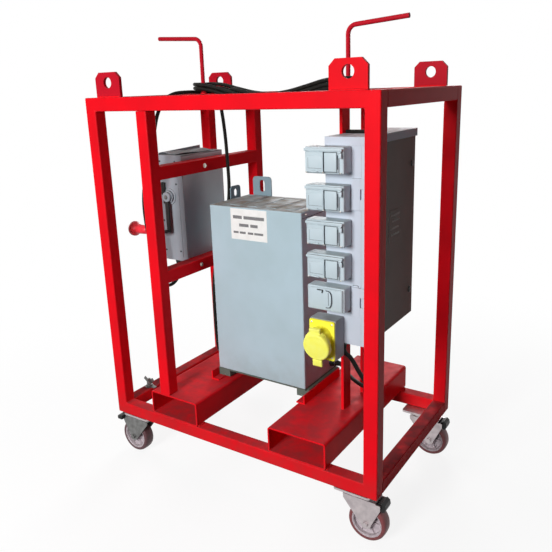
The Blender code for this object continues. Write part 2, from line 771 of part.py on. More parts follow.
def transformer_case():
    case = box("transformer_case", (CASE_LEFT, CASE_RIGHT), (CASE_FRONT, CASE_REAR),
               (CASE_FOOT_Z, CASE_TOP_Z), case_paint)
    round_edges(case, 0.004)
    inset = (GLAND_LENGTH - WELD) / 2
    for name, x in (("left_gland", CASE_LEFT - inset), ("right_gland", CASE_RIGHT + inset)):
        weld(case, gland(name, (x, LEAD_ENTRY_Y, FOOT_Z + LEAD_ENTRY_Z), 'X',
                         GLAND_LENGTH + WELD, black_rubber))
    return case


def transformer_base():
    foot_z = CLEAT_TOP_Z + GAP
    plate_z = foot_z + FOOT_HEIGHT
    base = box("transformer_base", (CASE_LEFT, CASE_RIGHT), (CASE_FRONT, CASE_REAR),
               (plate_z, plate_z + BASE_THICKNESS), case_paint)
    feet = (("left_foot", (CASE_LEFT - FOOT_INSET + WELD + GAP, CASE_LEFT + 0.045)),
            ("right_foot", (CASE_RIGHT - 0.045, CASE_RIGHT + FOOT_INSET - WELD - GAP)))
    for name, x in feet:
        foot = box(name, x, (CASE_FRONT + 0.012, CASE_REAR - 0.012),
                   (foot_z, plate_z + WELD), case_paint)
        weld(base, foot)
    return base


def eye_plate(name, centre, width, foot_z, rise, slot, span, axis):
    """A plate with rounded shoulders and an upright slot near its top."""
    top = CASE_TOP_Z + rise
    outline = rounded_rectangle((centre - width / 2, centre + width / 2), (foot_z, top), 0.014)
    half = slot[0] / 2
    hole = rounded_rectangle((centre - half, centre + half),
                             (top - slot[2] - slot[1], top - slot[2]), half - 0.001, 4)
    return plate(name, [outline, hole], span, axis, galvanised_steel)


transformer_case()
transformer_base()
eye_plate("transformer_side_lug", SIDE_LUG_Y, SIDE_LUG_WIDTH, CASE_TOP_Z - CASE_LUG_DEPTH,
          SIDE_LUG_RISE, (0.020, 0.030, 0.013),
          (CASE_LEFT - GAP - CASE_LUG_THICKNESS, CASE_LEFT - GAP), 'X')
eye_plate("transformer_rear_lug", REAR_LUG_X, REAR_LUG_WIDTH, CASE_TOP_Z - CASE_LUG_DEPTH,
          REAR_LUG_RISE, (0.025, 0.050, 0.014),
          (CASE_REAR + GAP, CASE_REAR + GAP + CASE_LUG_THICKNESS), 'Y')


# Door hinges on the side of a box: a leaf with two end knuckles on the box and
# one middle knuckle on the door, about a pin just outside the door's corner.
# A hinge is (side face y, way out of it, rim x, door face x, paint).

BOX_HINGE = (BOX_FRONT, -1, BOX_RIM_X, BOX_FACE_X, enclosure_paint)
SWITCH_HINGE = (SWITCH_REAR_Y, 1, SWITCH_RIM_X, SWITCH_FACE_X, switch_paint)


def hinge_pin(hinge):
    """Where the pin stands, as x and y, and which way the door lies from the box."""
    face_y, out, rim_x, face_x, paint = hinge
    outward = math.copysign(1, face_x - rim_x)
    pin_x = face_x + outward * (GAP + HINGE_PIN / 2)
    pin_y = face_y + out * (GAP + HINGE_PIN / 2)
    return pin_x, pin_y, outward


def knuckle(part, name, hinge, z, root_x, root_y):
    """A strap from the part's side to a round knuckle about the pin."""
    face_y, out, rim_x, face_x, paint = hinge
    pin_x, pin_y, outward = hinge_pin(hinge)
    strap_y = sorted((root_y, pin_y + out * (HINGE_PIN / 2 - WELD)))
    strap = box(name, sorted((root_x, pin_x)), strap_y, z, paint)
    weld(part, strap)
    centre = (pin_x, pin_y, (z[0] + z[1]) / 2)
    barrel = cylinder(f"{name}_barrel", HINGE_PIN / 2, z[1] - z[0] - WELD, centre, 'Z',
                      paint, sides=10)
    weld(part, barrel)


def hinge_leaf(body, name, hinge, z):
    """The box's half: a leaf flat on the side and a knuckle at each end."""
    face_y, out, rim_x, face_x, paint = hinge
    pin_x, pin_y, outward = hinge_pin(hinge)
    half = BOX_HINGE_LENGTH / 2
    third = BOX_HINGE_LENGTH / 6
    leaf_x = sorted((rim_x - outward * HINGE_LEAF, rim_x - outward * WELD))
    leaf_y = sorted((face_y - out * WELD, pin_y + out * HINGE_PIN / 2))
    weld(body, box(f"{name}_leaf", leaf_x, leaf_y, (z - half, z + half), paint))
    root_y = pin_y + out * (HINGE_PIN / 2 - HINGE_THICKNESS)
    for end, span in (("lower", (z - half + WELD, z - third)), ("upper", (z + third, z + half - WELD))):
        knuckle(body, f"{name}_{end}", hinge, span, rim_x - outward * HINGE_LEAF / 2, root_y)


def hinge_tongue(door, name, hinge, z):
    """The door's half: one knuckle between the box's two."""
    face_y, out, rim_x, face_x, paint = hinge
    pin_x, pin_y, outward = hinge_pin(hinge)
    third = BOX_HINGE_LENGTH / 6
    knuckle(door, name, hinge, (z - third + GAP, z + third - GAP),
            face_x - outward * HINGE_PIN, face_y - out * WELD)


# Distribution enclosure: folded box, hooded top, hinged door and breakers inside

def enclosure_body():
    body = open_box("enclosure_body", (BOX_BACK_X, BOX_RIM_X), (BOX_FRONT, BOX_REAR),
                    (BOX_FOOT_Z, BOX_TOP_Z), (1, 0, 0), BOX_WALL, enclosure_paint)
    over = HOOD_OVERHANG
    hood = open_box("enclosure_hood", (BOX_BACK_X, BOX_FACE_X + 2 * over),
                    (BOX_FRONT - over, BOX_REAR + over),
                    (BOX_TOP_Z - HOOD_HEIGHT, BOX_TOP_Z + over),
                    (0, 0, -1), over + WELD, enclosure_paint)
    weld(body, hood)
    for number, rise in enumerate(BOX_HINGE_RISE):
        hinge_leaf(body, f"enclosure_hinge_{number}", BOX_HINGE, BOX_FOOT_Z + rise)
    gland_z = BOX_FOOT_Z - (GLAND_LENGTH - WELD) / 2
    weld(body, gland("enclosure_gland", (BOX_LEAD_X, BOX_LEAD_Y, gland_z), 'Z',
                     GLAND_LENGTH + WELD, black_rubber))
    return body


def enclosure_door():
    head = BOX_TOP_Z - HOOD_HEIGHT - GAP
    door = open_box("enclosure_door", (BOX_DOOR_X, BOX_FACE_X), (BOX_FRONT, BOX_REAR),
                    (BOX_FOOT_Z, head), (-1, 0, 0), BOX_WALL, enclosure_paint)
    for number, rise in enumerate(BOX_HINGE_RISE):
        hinge_tongue(door, f"enclosure_tongue_{number}", BOX_HINGE, BOX_FOOT_Z + rise)
    return door


def breaker_row():
    """Breakers side by side: one nose profile, a gap cut between them and a toggle each."""
    back = BOX_BACK_X + BOX_WALL + GAP
    body_x = back + BREAKER_BODY_DEPTH
    nose_x = back + BREAKER_NOSE_DEPTH
    z = BOX_FOOT_Z + BREAKER_ROW_RISE
    half = BREAKER_HEIGHT / 2
    nose_half = BREAKER_NOSE_HEIGHT / 2
    length = BREAKERS * BREAKER_PITCH
    start = (BOX_FRONT + BOX_REAR - length) / 2
    nose = [(back, z - half), (body_x, z - half), (body_x, z - nose_half),
            (nose_x, z - nose_half), (nose_x, z + nose_half), (body_x, z + nose_half),
            (body_x, z + half), (back, z + half)]
    row = plate("breaker_row", [nose], (start, start + length), 'Y', breaker_plastic)
    for number in range(1, BREAKERS):
        y = start + number * BREAKER_PITCH
        groove = box(f"breaker_groove_{number}", (body_x - 4 * BREAKER_GROOVE, nose_x + half),
                     (y - BREAKER_GROOVE / 2, y + BREAKER_GROOVE / 2), (z - 2 * half, z + 2 * half),
                     breaker_plastic)
        cut(row, groove)
    for number in range(BREAKERS):
        y = start + (number + 0.5) * BREAKER_PITCH
        toggle = box(f"breaker_toggle_{number}", (nose_x - WELD, nose_x + TOGGLE_REACH),
                     (y - TOGGLE_WIDTH / 2, y + TOGGLE_WIDTH / 2),
                     (z + 2 * WELD, z + 2 * WELD + TOGGLE_HEIGHT), breaker_plastic)
        weld(row, toggle)
    return row


# Lead from the enclosure to the transformer, held at both ends

LEAD_START = (BOX_LEAD_X, BOX_LEAD_Y, BOX_FOOT_Z - GLAND_LENGTH - GAP)
LEAD_END = (CASE_RIGHT + GLAND_LENGTH + GAP, LEAD_ENTRY_Y, FOOT_Z + LEAD_ENTRY_Z)
LEAD_BEND_Z = LEAD_START[2] - 0.062
LEAD_LOW_Z = LEAD_END[2] - 0.020
LEAD_ROUTE = [(BOX_LEAD_X, BOX_LEAD_Y, LEAD_START[2] - 0.012),
              (0.399, -0.183, LEAD_START[2] - 0.036), (0.411, -0.163, LEAD_BEND_Z)]
for lead_x, lead_y, share in ((0.432, -0.128, 0.60), (0.438, -0.082, 0.26),
                              (0.408, -0.030, 0.06), (0.352, 0.010, 0.0), (0.296, 0.050, 0.0)):
    LEAD_ROUTE.append((lead_x, lead_y, LEAD_LOW_Z + share * (LEAD_BEND_Z - LEAD_LOW_Z)))
LEAD_ROUTE += [(0.256, 0.082, LEAD_END[2] - 0.006),
               (LEAD_END[0] + 0.012, LEAD_END[1], LEAD_END[2])]

enclosure_body()
enclosure_door()
breaker_row()
rod("transformer_lead", [LEAD_START] + smooth_route(LEAD_ROUTE, 2.2 * LEAD) + [LEAD_END],
    LEAD / 2, black_rubber, 2)


# Switch-fuse: folded box, hinged door, fuse carriers inside and a side handle

def switch_body():
    body = open_box("switch_body", (SWITCH_RIM_X, SWITCH_BACK_X),
                    (SWITCH_FRONT_Y, SWITCH_REAR_Y), (SWITCH_FOOT_Z, SWITCH_TOP_Z),
                    (-1, 0, 0), SWITCH_WALL, switch_paint)
    weld(body, gland("switch_gland", (SWITCH_GLAND_X, SWITCH_GLAND_Y,
                                      SWITCH_GLAND_Z + (GLAND_LENGTH + WELD) / 2),
                     'Z', GLAND_LENGTH + WELD, black_rubber))
    for number, rise in enumerate(SWITCH_HINGE_RISE):
        hinge_leaf(body, f"switch_hinge_{number}", SWITCH_HINGE, SWITCH_FOOT_Z + rise)
    boss = cylinder("switch_handle_boss", BOSS_DIAMETER / 2, BOSS_HEIGHT,
                    (HANDLE_X, SWITCH_FRONT_Y - BOSS_HEIGHT / 2 + WELD, HANDLE_Z), 'Y',
                    switch_paint, sides=24)
    return weld(body, boss)


def switch_door():
    door = open_box("switch_door", (SWITCH_FACE_X, SWITCH_RIM_X - GAP),
                    (SWITCH_FRONT_Y, SWITCH_REAR_Y), (SWITCH_FOOT_Z, SWITCH_TOP_Z),
                    (1, 0, 0), SWITCH_WALL, switch_paint)
    for number, rise in enumerate(SWITCH_HINGE_RISE):
        hinge_tongue(door, f"switch_tongue_{number}", SWITCH_HINGE, SWITCH_FOOT_Z + rise)
    return door


def fuse_carriers():
    """A moulded base on the box's back with two fuse carriers plugged in."""
    back = SWITCH_BACK_X - SWITCH_WALL - GAP
    face = back - FUSE_BASE_DEPTH
    middle = (SWITCH_FRONT_Y + SWITCH_REAR_Y) / 2
    low = SWITCH_FOOT_Z + FUSE_BASE_RISE
    centre = low + FUSE_BASE_HEIGHT / 2 - FUSE_HEIGHT / 5
    base = box("fuse_carriers", (face, back),
               (middle - FUSE_BASE_WIDTH / 2, middle + FUSE_BASE_WIDTH / 2),
               (low, low + FUSE_BASE_HEIGHT), black_rubber)
    for number, side in enumerate((-1, 1)):
        y = middle + side * FUSE_PITCH / 2
        carrier = box(f"fuse_carrier_{number}", (face - FUSE_DEPTH, face + WELD),
                      (y - FUSE_WIDTH / 2, y + FUSE_WIDTH / 2),
                      (centre - FUSE_HEIGHT / 2, centre + FUSE_HEIGHT / 2), black_rubber)
        round_edges(carrier, 0.006)
        weld(base, carrier)
    return base


def switch_handle():
    """A crank on the box's side: pivot disc, arm, rod and mushroom grip."""
    pivot = (HANDLE_X, SWITCH_FRONT_Y - BOSS_HEIGHT + WELD - GAP, HANDLE_Z)
    axis = empty("switch_handle_axis", pivot)
    arm_end = -HANDLE_DROP
    outline = circle(0, 0, 0.020, 16)
    handle = plate("switch_handle", [outline], (-0.012, 0), 'Y', black_rubber, axis)
    arm = box("switch_arm", (-0.009, 0.009), (-0.012, -0.004), (arm_end - 0.007, 0),
              black_rubber, axis)
    weld(handle, arm)
    grip_y = -HANDLE_OFFSET + 0.012
    bend = HANDLE_ROD
    crank = [(0, -0.006, arm_end)]
    for step in range(5):
        angle = math.radians(22.5 * step)
        crank.append((-bend * (1 - math.cos(angle)), grip_y + bend * (1 - math.sin(angle)),
                      arm_end))
    crank.append((-HANDLE_REACH, grip_y, arm_end))
    weld(handle, rod("switch_crank", crank, HANDLE_ROD / 2, black_rubber, 2, axis))
    radius = GRIP_DIAMETER / 2
    profile = [(0, GRIP_LENGTH)]
    for step in range(1, 7):
        angle = math.radians(15 * step)
        profile.append((radius * math.sin(angle), GRIP_LENGTH - 0.020 * (1 - math.cos(angle))))
    profile += [(radius - 0.003, 0.030), (0.012, 0.022), (0.010, 0), (0, 0)]
    grip = turned("switch_grip", profile, red_paint, axis, (-HANDLE_REACH + WELD, grip_y, arm_end),
                  steps=16)
    grip.rotation_euler = (0, -math.pi / 2, 0)
    return weld(handle, grip)


switch_body()
switch_door()
fuse_carriers()
switch_handle()


# Column of sockets: four with hinged lids, one spur unit, one round yellow socket

def socket_box(name, z):
    """A moulded box with a raised hinge hood and a switch cover beside the lid."""
    low = z - SOCKET_HEIGHT / 2
    high = low + SOCKET_HEIGHT
    left = SOCKET_X - SOCKET_WIDTH / 2
    right = left + SOCKET_WIDTH
    body = box(name, (left, right), (SOCKET_FACE_Y, SOCKET_BACK_Y), (low, high), socket_plastic)
    round_edges(body, SOCKET_CORNER)
    hood_low = high - SOCKET_CORNER - HINGE_HOOD_HEIGHT
    hood = [(left + LID_SIDE_MARGIN, hood_low), (right - 0.020, hood_low),
            (right - LID_SIDE_MARGIN, high - SOCKET_CORNER),
            (left + LID_SIDE_MARGIN, high - SOCKET_CORNER)]
    weld(body, plate(f"{name}_hood", [hood], (SOCKET_FRONT_Y, SOCKET_FACE_Y + WELD), 'Y',
                     socket_plastic))
    pad_left = left + LID_SIDE_MARGIN + LID_WIDTH + 0.002
    pad = box(f"{name}_switch_cover", (pad_left, pad_left + SWITCH_PAD_WIDTH),
              (SOCKET_FRONT_Y + 0.001, SOCKET_FACE_Y + WELD),
              (low + LID_SIDE_MARGIN, hood_low - 0.001), socket_plastic)
    round_edges(pad, 0.002, 1)
    weld(body, pad)
    return body


def socket_lid(name, z):
    """The flap over a socket outlet, hung from the hood above it."""
    high = z + SOCKET_HEIGHT / 2 - SOCKET_CORNER - HINGE_HOOD_HEIGHT - GAP
    left = SOCKET_X - SOCKET_WIDTH / 2 + LID_SIDE_MARGIN
    hinge = empty(f"{name}_axis", (left + LID_WIDTH / 2, SOCKET_FRONT_Y, high))
    half = LID_WIDTH / 2
    lid = box(name, (-half, half), (0.0002, FASCIA_DEPTH - GAP), (-LID_HEIGHT, 0),
              socket_plastic, hinge)
    return round_edges(lid, 0.002, 1)


def spur_box():
    low = BOX_TOP_Z - SPUR_SHARE * BOX_HEIGHT - SOCKET_HEIGHT / 2
    left = SOCKET_X - SOCKET_WIDTH / 2
    body = box("spur_box", (left, left + SOCKET_WIDTH), (SOCKET_FACE_Y, SOCKET_BACK_Y),
               (low, low + SOCKET_HEIGHT), socket_plastic)
    round_edges(body, SOCKET_CORNER)
    face = box("spur_face", (left + 0.004, left + SOCKET_WIDTH - 0.004),
               (SOCKET_FRONT_Y + 0.002, SOCKET_FACE_Y + WELD),
               (low + 0.004, low + SOCKET_HEIGHT - 0.004), socket_plastic)
    round_edges(face, 0.003)
    return weld(body, face)


def yellow_socket():
    """Flange, tilted barrel with its recess and contact holes, and hinge ears."""
    half_width = YELLOW_WIDTH / 2 - FLANGE_MARGIN
    half_height = YELLOW_HEIGHT / 2 - FLANGE_MARGIN
    z = YELLOW_Z
    outline = rounded_rectangle((YELLOW_X - half_width, YELLOW_X + half_width),
                                (z - half_height, z + half_height), 0.006)
    back = SOCKET_FRONT_Y - GAP
    socket = plate("yellow_socket", [outline], (back - FLANGE_THICKNESS, back), 'Y',
                   yellow_plastic)
    mouth = empty("yellow_socket_mouth",
                  (YELLOW_X, back - FLANGE_THICKNESS - BARREL_LENGTH,
                   z + BARREL_RISE), (BARREL_TILT, 0, 0))
    root = 0.003
    radius = BARREL_DIAMETER / 2
    trim = radius * math.tan(BARREL_TILT)
    length = BARREL_LENGTH / math.cos(BARREL_TILT) + trim + root
    barrel = cylinder("yellow_barrel", radius, length, (0, length / 2, 0), 'Y',
                      yellow_plastic, mouth, 32)
    behind = box("yellow_barrel_trim", (YELLOW_X - 0.1, YELLOW_X + 0.1),
                 (back - FLANGE_THICKNESS + root, back + 0.1), (z - 0.1, z + 0.1),
                 yellow_plastic)
    weld(socket, cut(barrel, behind))
    ears = box("yellow_ears", (-0.014, 0.014), (0.0005, 0.012),
               (radius - 0.006, CAP_HINGE_RISE - 0.003), yellow_plastic, mouth)
    weld(socket, ears)
    recess = cylinder("yellow_recess", RECESS_DIAMETER / 2, 2 * RECESS_DEPTH, (0, 0, 0), 'Y',
                      yellow_plastic, mouth, 32)
    cut(socket, recess)
    for number in range(3):
        angle = math.radians(90 + 120 * number)
        hole = cylinder(f"yellow_contact_{number}", 0.0035, 0.020,
                        (0.016 * math.cos(angle), RECESS_DEPTH + 0.006,
                         0.016 * math.sin(angle)), 'Y', yellow_plastic, mouth, 12)
        cut(socket, hole)
    return mouth


def yellow_cap(mouth):
    """The round cap, hinged above the barrel, with a thumb tab below."""
    hinge = empty("yellow_cap_axis", (0, 0, CAP_HINGE_RISE), (0, 0, 0), mouth)
    radius = CAP_DIAMETER / 2
    profile = [(0, CAP_THICKNESS), (radius - 0.006, CAP_THICKNESS),
               (radius, CAP_THICKNESS - 0.005), (radius, 0), (0, 0)]
    cap = turned("yellow_cap", profile, yellow_plastic, hinge,
                 (0, -GAP, -CAP_HINGE_RISE), steps=28)
    cap.rotation_euler = (math.pi / 2, 0, 0)
    half = CAP_TAB_WIDTH / 2
    tab = box("yellow_cap_tab", (-half, half), (-0.010, -0.004),
              (-CAP_HINGE_RISE - radius - CAP_TAB_LENGTH, -CAP_HINGE_RISE - radius + 0.008),
              yellow_plastic, hinge)
    weld(cap, round_edges(tab, 0.002, 1))
    knuckle = box("yellow_cap_knuckle", (-0.020, 0.020), (-0.012, -GAP),
                  (-0.012, 0.005), yellow_plastic, hinge)
    return weld(cap, round_edges(knuckle, 0.002, 1))


for number, share in enumerate(SOCKET_SHARE, start=1):
    socket_box(f"socket_box_{number}", BOX_TOP_Z - share * BOX_HEIGHT)
    socket_lid(f"socket_lid_{number}", BOX_TOP_Z - share * BOX_HEIGHT)
spur_box()
back_box = box("yellow_back_box",
               (YELLOW_X - YELLOW_WIDTH / 2, YELLOW_X + YELLOW_WIDTH / 2),
               (SOCKET_FRONT_Y, SOCKET_BACK_Y),
               (YELLOW_Z - YELLOW_HEIGHT / 2, YELLOW_Z + YELLOW_HEIGHT / 2),
               socket_plastic)
round_edges(back_box, 0.003)
yellow_cap(yellow_socket())


# Supply cable: a hank laid round both hook rods, one end in the switch-fuse and the
# other in the transformer

HANK_MIDDLE = (LADDER_X + HOOK_RAIL_X) / 2
HANK_REACH = (HOOK_RAIL_X - LADDER_X) / 2 + HANK_PAST_ROD - HANK_END_RADIUS
HANK_SPAN = (HOOK_RAIL_X - LADDER_X - TUBE) / 2
HANK_HEIGHT = HANK_TURNS * CABLE
HANK_FOOT_Z = TOP_Z + GAP


def hank_z(x):
    """The height of the hank's middle, which hangs down between the hook rails."""
    share = min(1.0, abs(x - HANK_MIDDLE) / HANK_SPAN)
    return HANK_FOOT_Z + HANK_HEIGHT / 2 - HANK_SAG * (1 - share ** 2) ** 2


def hank_y(x):
    """How far each run lies from the middle: wide at the ends and slim between."""
    bow = ((x - HANK_MIDDLE) / HANK_REACH) ** 2
    return HANK_WAIST + (HANK_END_RADIUS - HANK_WAIST) * bow ** 2 * (2 - bow)


def hank_route():
    """A long closed loop with a round end outside each hook rod."""
    span = [HANK_MIDDLE + HANK_SPAN * (2 * step / HANK_STEPS - 1)
            for step in range(HANK_STEPS + 1)]
    run = [HANK_MIDDLE - HANK_REACH] + span + [HANK_MIDDLE + HANK_REACH]
    front = [(x, -hank_y(x)) for x in run]
    rear = [(x, hank_y(x)) for x in reversed(run)]
    bends = []
    for centre_x, start in ((HANK_MIDDLE - HANK_REACH, 90), (HANK_MIDDLE + HANK_REACH, -90)):
        angles = [math.radians(start + 30 * step) for step in range(1, 6)]
        bends.append([(centre_x + HANK_END_RADIUS * math.cos(a), HANK_END_RADIUS * math.sin(a))
                      for a in angles])
    loop = bends[0] + front + bends[1] + rear
    return [(x, y, hank_z(x)) for x, y in loop]


def cable_hank():
    """All the turns lie flat on one another as one band about both rods."""
    section = bpy.data.curves.new("hank_section", 'CURVE')
    section.dimensions = '2D'
    outline = section.splines.new('POLY')
    corners = rounded_rectangle((-HANK_BAND / 2, HANK_BAND / 2),
                                (-HANK_HEIGHT / 2, HANK_HEIGHT / 2), CABLE / 4, 1)
    outline.points.add(len(corners) - 1)
    for point, (u, v) in zip(outline.points, corners):
        point.co = (u, v, 0, 1)
    outline.use_cyclic_u = True
    section_holder = bpy.data.objects.new("hank_section", section)
    cutters.objects.link(section_holder)
    section_holder.hide_render = True
    path = bpy.data.curves.new("cable_hank", 'CURVE')
    path.dimensions = '3D'
    path.twist_mode = 'Z_UP'
    path.bevel_mode = 'OBJECT'
    path.bevel_object = section_holder
    spline = path.splines.new('POLY')
    route = hank_route()
    spline.points.add(len(route) - 1)
    for point, place in zip(spline.points, route):
        point.co = (*place, 1)
    spline.use_cyclic_u = True
    mesh = curve_mesh("cable_hank", path)
    mesh.shade_smooth()
    mesh.set_sharp_from_angle(angle=math.radians(50))
    return new_part("cable_hank", mesh, black_rubber)


SUPPLY_START = (LADDER_X - HANK_PAST_ROD - HANK_BAND / 2 - GAP - CABLE / 2, -0.012,
                HANK_FOOT_Z + CABLE / 2)
SUPPLY_ROUTE = [SUPPLY_START, (-0.361, -0.056, TOP_Z + 0.008),
                (-0.373, -0.112, TOP_Z + 0.003), (-0.381, -0.163, TOP_Z - 0.020),
                (-0.380, -0.205, TOP_Z - 0.072), (-0.382, -0.230, TOP_Z - 0.140),
                (-0.401, -0.245, TOP_Z - 0.220), (-0.438, -0.250, TOP_Z - 0.320),
                (-0.456, -0.250, TOP_Z - 0.400), (-0.458, -0.248, TOP_Z - 0.485),
                (-0.452, -0.241, TOP_Z - 0.570), (-0.443, -0.230, TOP_Z - 0.640)]
for number in range(7):
    angle = math.pi * number / 6
    SUPPLY_ROUTE.append((SWITCH_GLAND_X - 0.009 * (1 - number / 6),
                         SWITCH_GLAND_Y - SUPPLY_LOOP - SUPPLY_LOOP * math.cos(angle),
                         SWITCH_GLAND_Z - 0.020 - SUPPLY_LOOP * math.sin(angle)))
SUPPLY_END = (SWITCH_GLAND_X, SWITCH_GLAND_Y, SWITCH_GLAND_Z - GAP)
TAIL_ENTRY_X = CASE_LEFT - GLAND_LENGTH - GAP
TAIL_ENTRY_Z = FOOT_Z + LEAD_ENTRY_Z
TAIL_HANG_Z = TOP_Z - 0.260
TAIL_LOW_Z = TAIL_ENTRY_Z + 0.232
TAIL_ROUTE = [(-0.160, -0.0055, TOP_Z + 0.013), (-0.195, 0.000, TOP_Z + 0.008),
              (-0.222, 0.006, TOP_Z - 0.006), (-0.240, 0.013, TOP_Z - 0.028),
              (-0.2485, 0.020, TOP_Z - 0.058), (TAIL_X, 0.030, TOP_Z - 0.110),
              (TAIL_X, 0.038, TOP_Z - 0.180), (TAIL_X, 0.042, TAIL_HANG_Z)]
for tail_x, tail_y, share in ((-0.250, 0.044, 0.19), (-0.252, 0.030, 0.34),
                              (-0.255, -0.012, 0.52), (-0.256, -0.058, 0.69),
                              (-0.254, -0.084, 0.84), (-0.252, -0.092, 1.0)):
    TAIL_ROUTE.append((tail_x, tail_y, TAIL_HANG_Z + share * (TAIL_LOW_Z - TAIL_HANG_Z)))
TAIL_ROUTE += [(-0.252, -0.092, TAIL_ENTRY_Z + 0.152), (-0.256, -0.084, TAIL_ENTRY_Z + 0.082),
               (-0.270, -0.062, TAIL_ENTRY_Z + 0.027), (-0.291, -0.026, TAIL_ENTRY_Z - 0.003),
               (-0.306, 0.016, TAIL_ENTRY_Z - 0.010), (-0.306, 0.054, TAIL_ENTRY_Z - 0.007),
               (-0.288, 0.081, TAIL_ENTRY_Z - 0.002),
               (TAIL_ENTRY_X - 0.012, LEAD_ENTRY_Y, TAIL_ENTRY_Z)]

cable_hank()
rod("supply_cable", smooth_route(SUPPLY_ROUTE, 2.2 * CABLE) + [SUPPLY_END], CABLE / 2,
    black_rubber, 2)
rod("cable_tail", smooth_route(TAIL_ROUTE, 2.4 * CABLE)
    + [(TAIL_ENTRY_X, LEAD_ENTRY_Y, TAIL_ENTRY_Z)], CABLE / 2, black_rubber, 2)
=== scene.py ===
# %% [markdown]
# # A portable site transformer
# A red lifting cage on four braked castors carries a pale step-down transformer.
# A switch-fuse hangs on its left and a distribution enclosure with a column of
# sockets on its right. The solids come in from the frame. This lesson gives them
# their finishes and adds the small pieces that a maker would fit by hand.

# %% Open the frame and measure it
import bpy
import bmesh
import math
from mathutils import Matrix, Vector


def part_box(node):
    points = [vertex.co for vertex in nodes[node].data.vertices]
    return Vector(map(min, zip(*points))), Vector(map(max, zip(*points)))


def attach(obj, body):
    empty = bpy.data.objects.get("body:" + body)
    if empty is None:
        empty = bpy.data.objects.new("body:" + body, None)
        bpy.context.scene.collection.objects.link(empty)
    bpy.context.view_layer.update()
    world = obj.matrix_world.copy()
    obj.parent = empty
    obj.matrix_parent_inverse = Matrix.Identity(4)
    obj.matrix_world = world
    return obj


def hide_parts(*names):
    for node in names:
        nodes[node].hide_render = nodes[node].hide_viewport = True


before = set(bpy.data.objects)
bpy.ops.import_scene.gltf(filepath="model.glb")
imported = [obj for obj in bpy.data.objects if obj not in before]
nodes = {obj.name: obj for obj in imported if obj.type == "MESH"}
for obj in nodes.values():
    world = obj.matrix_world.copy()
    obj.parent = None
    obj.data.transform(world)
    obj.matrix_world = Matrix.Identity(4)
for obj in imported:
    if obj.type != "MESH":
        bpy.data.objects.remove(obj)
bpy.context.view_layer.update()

scene = bpy.context.scene
print("solids in the frame:", len(nodes))

# %% [markdown]
# ## The camera
# The photograph was taken from the front right, a little above the top rail. The
# place, the turn and the lens were found by matching the cage's corners to the
# picture, so they are written here as plain numbers.

# %% Place the camera
CAMERA_PLACE = Vector((1.3306, -1.9816, 1.5033))
AZIMUTH = math.radians(33.82)
PITCH = math.radians(15.34)
ROLL = math.radians(-1.967)

away = Vector((math.sin(AZIMUTH) * math.cos(PITCH), -math.cos(AZIMUTH) * math.cos(PITCH),
    math.sin(PITCH)))
level_right = Vector((0, 0, 1)).cross(away).normalized()
level_up = away.cross(level_right)
right = math.cos(ROLL) * level_right + math.sin(ROLL) * level_up
up = -math.sin(ROLL) * level_right + math.cos(ROLL) * level_up

camera_data = bpy.data.cameras.new("photograph_view")
camera_data.lens = 40.83
camera_data.sensor_width = 36.0
camera_data.shift_x = -0.00143
camera_data.shift_y = -0.02964
camera = bpy.data.objects.new("photograph_view", camera_data)
facing = Matrix((right, up, away)).transposed().to_4x4()
camera.matrix_world = Matrix.Translation(CAMERA_PLACE) @ facing
scene.collection.objects.link(camera)
scene.camera = camera
print("camera stands", round(CAMERA_PLACE.length, 2), "m from the cage's foot")

# %% [markdown]
# ## The supply cable
# One rubber cable does three jobs. It comes up from the switch-fuse, lies in three
# long turns over the two hook rails, and hangs down to the transformer. A real cable
# is one piece, so it is one open curve here with a round bevel. Its stops are the
# same as in the solid model, and a smooth curve goes through them.

# %% A smooth route through a list of stops
def smooth_route(stops, spacing):
    """Points along a smooth curve through the stops, evenly spaced."""
    knots = [Vector(stop) for stop in stops]
    padded = [2 * knots[0] - knots[1]] + knots + [2 * knots[-1] - knots[-2]]
    fine = []
    for p0, p1, p2, p3 in zip(padded, padded[1:], padded[2:], padded[3:]):
        for step in range(20):
            t = step / 20
            fine.append(0.5 * (2 * p1 + (p2 - p0) * t + (2 * p0 - 5 * p1 + 4 * p2 - p3) * t ** 2
                               + (3 * p1 - p0 - 3 * p2 + p3) * t ** 3))
    fine.append(knots[-1])
    lengths = [(b - a).length for a, b in zip(fine, fine[1:])]
    count = max(2, round(sum(lengths) / spacing))
    step_length = sum(lengths) / count
    route = [fine[0]]
    travelled = 0.0
    for a, b, length in zip(fine, fine[1:], lengths):
        while len(route) < count and travelled + length >= step_length * len(route):
            share = (step_length * len(route) - travelled) / length
            route.append(a.lerp(b, share))
        travelled += length
    route.append(fine[-1])
    return route


def route_length(route):
    return sum((b - a).length for a, b in zip(route, route[1:]))


# %% The cable's sizes and its three turns over the hooks
CABLE = 0.014
TOP_Z = 1.49
LOOP_RADIUS = 0.0461
LOOP_LEFT_X = -0.301
LOOP_RIGHT_X = 0.304
LOOP_MIDDLE_X = 0.0015
LOOP_SPAN = 0.2935
LOOP_WAIST = 0.017
TURN_RISE = CABLE + 0.0006
HANK_SAG = 0.044
HANK_TURNS = 3
# Shares of one turn: half of each round end, each long run, and the climb to the next.
HALF_END = 0.06
RUN = 0.38
LAST_SHARE = 0.83
CLIMB_FROM, CLIMB_OVER = 0.84, 0.13


def hank_height(x, layer):
    """Height of the cable's middle: it hangs down between the two hook rails."""
    share = min(1.0, abs(x - LOOP_MIDDLE_X) / LOOP_SPAN)
    return TOP_Z + 0.0003 + CABLE / 2 + TURN_RISE * layer - HANK_SAG * (1 - share ** 2) ** 2


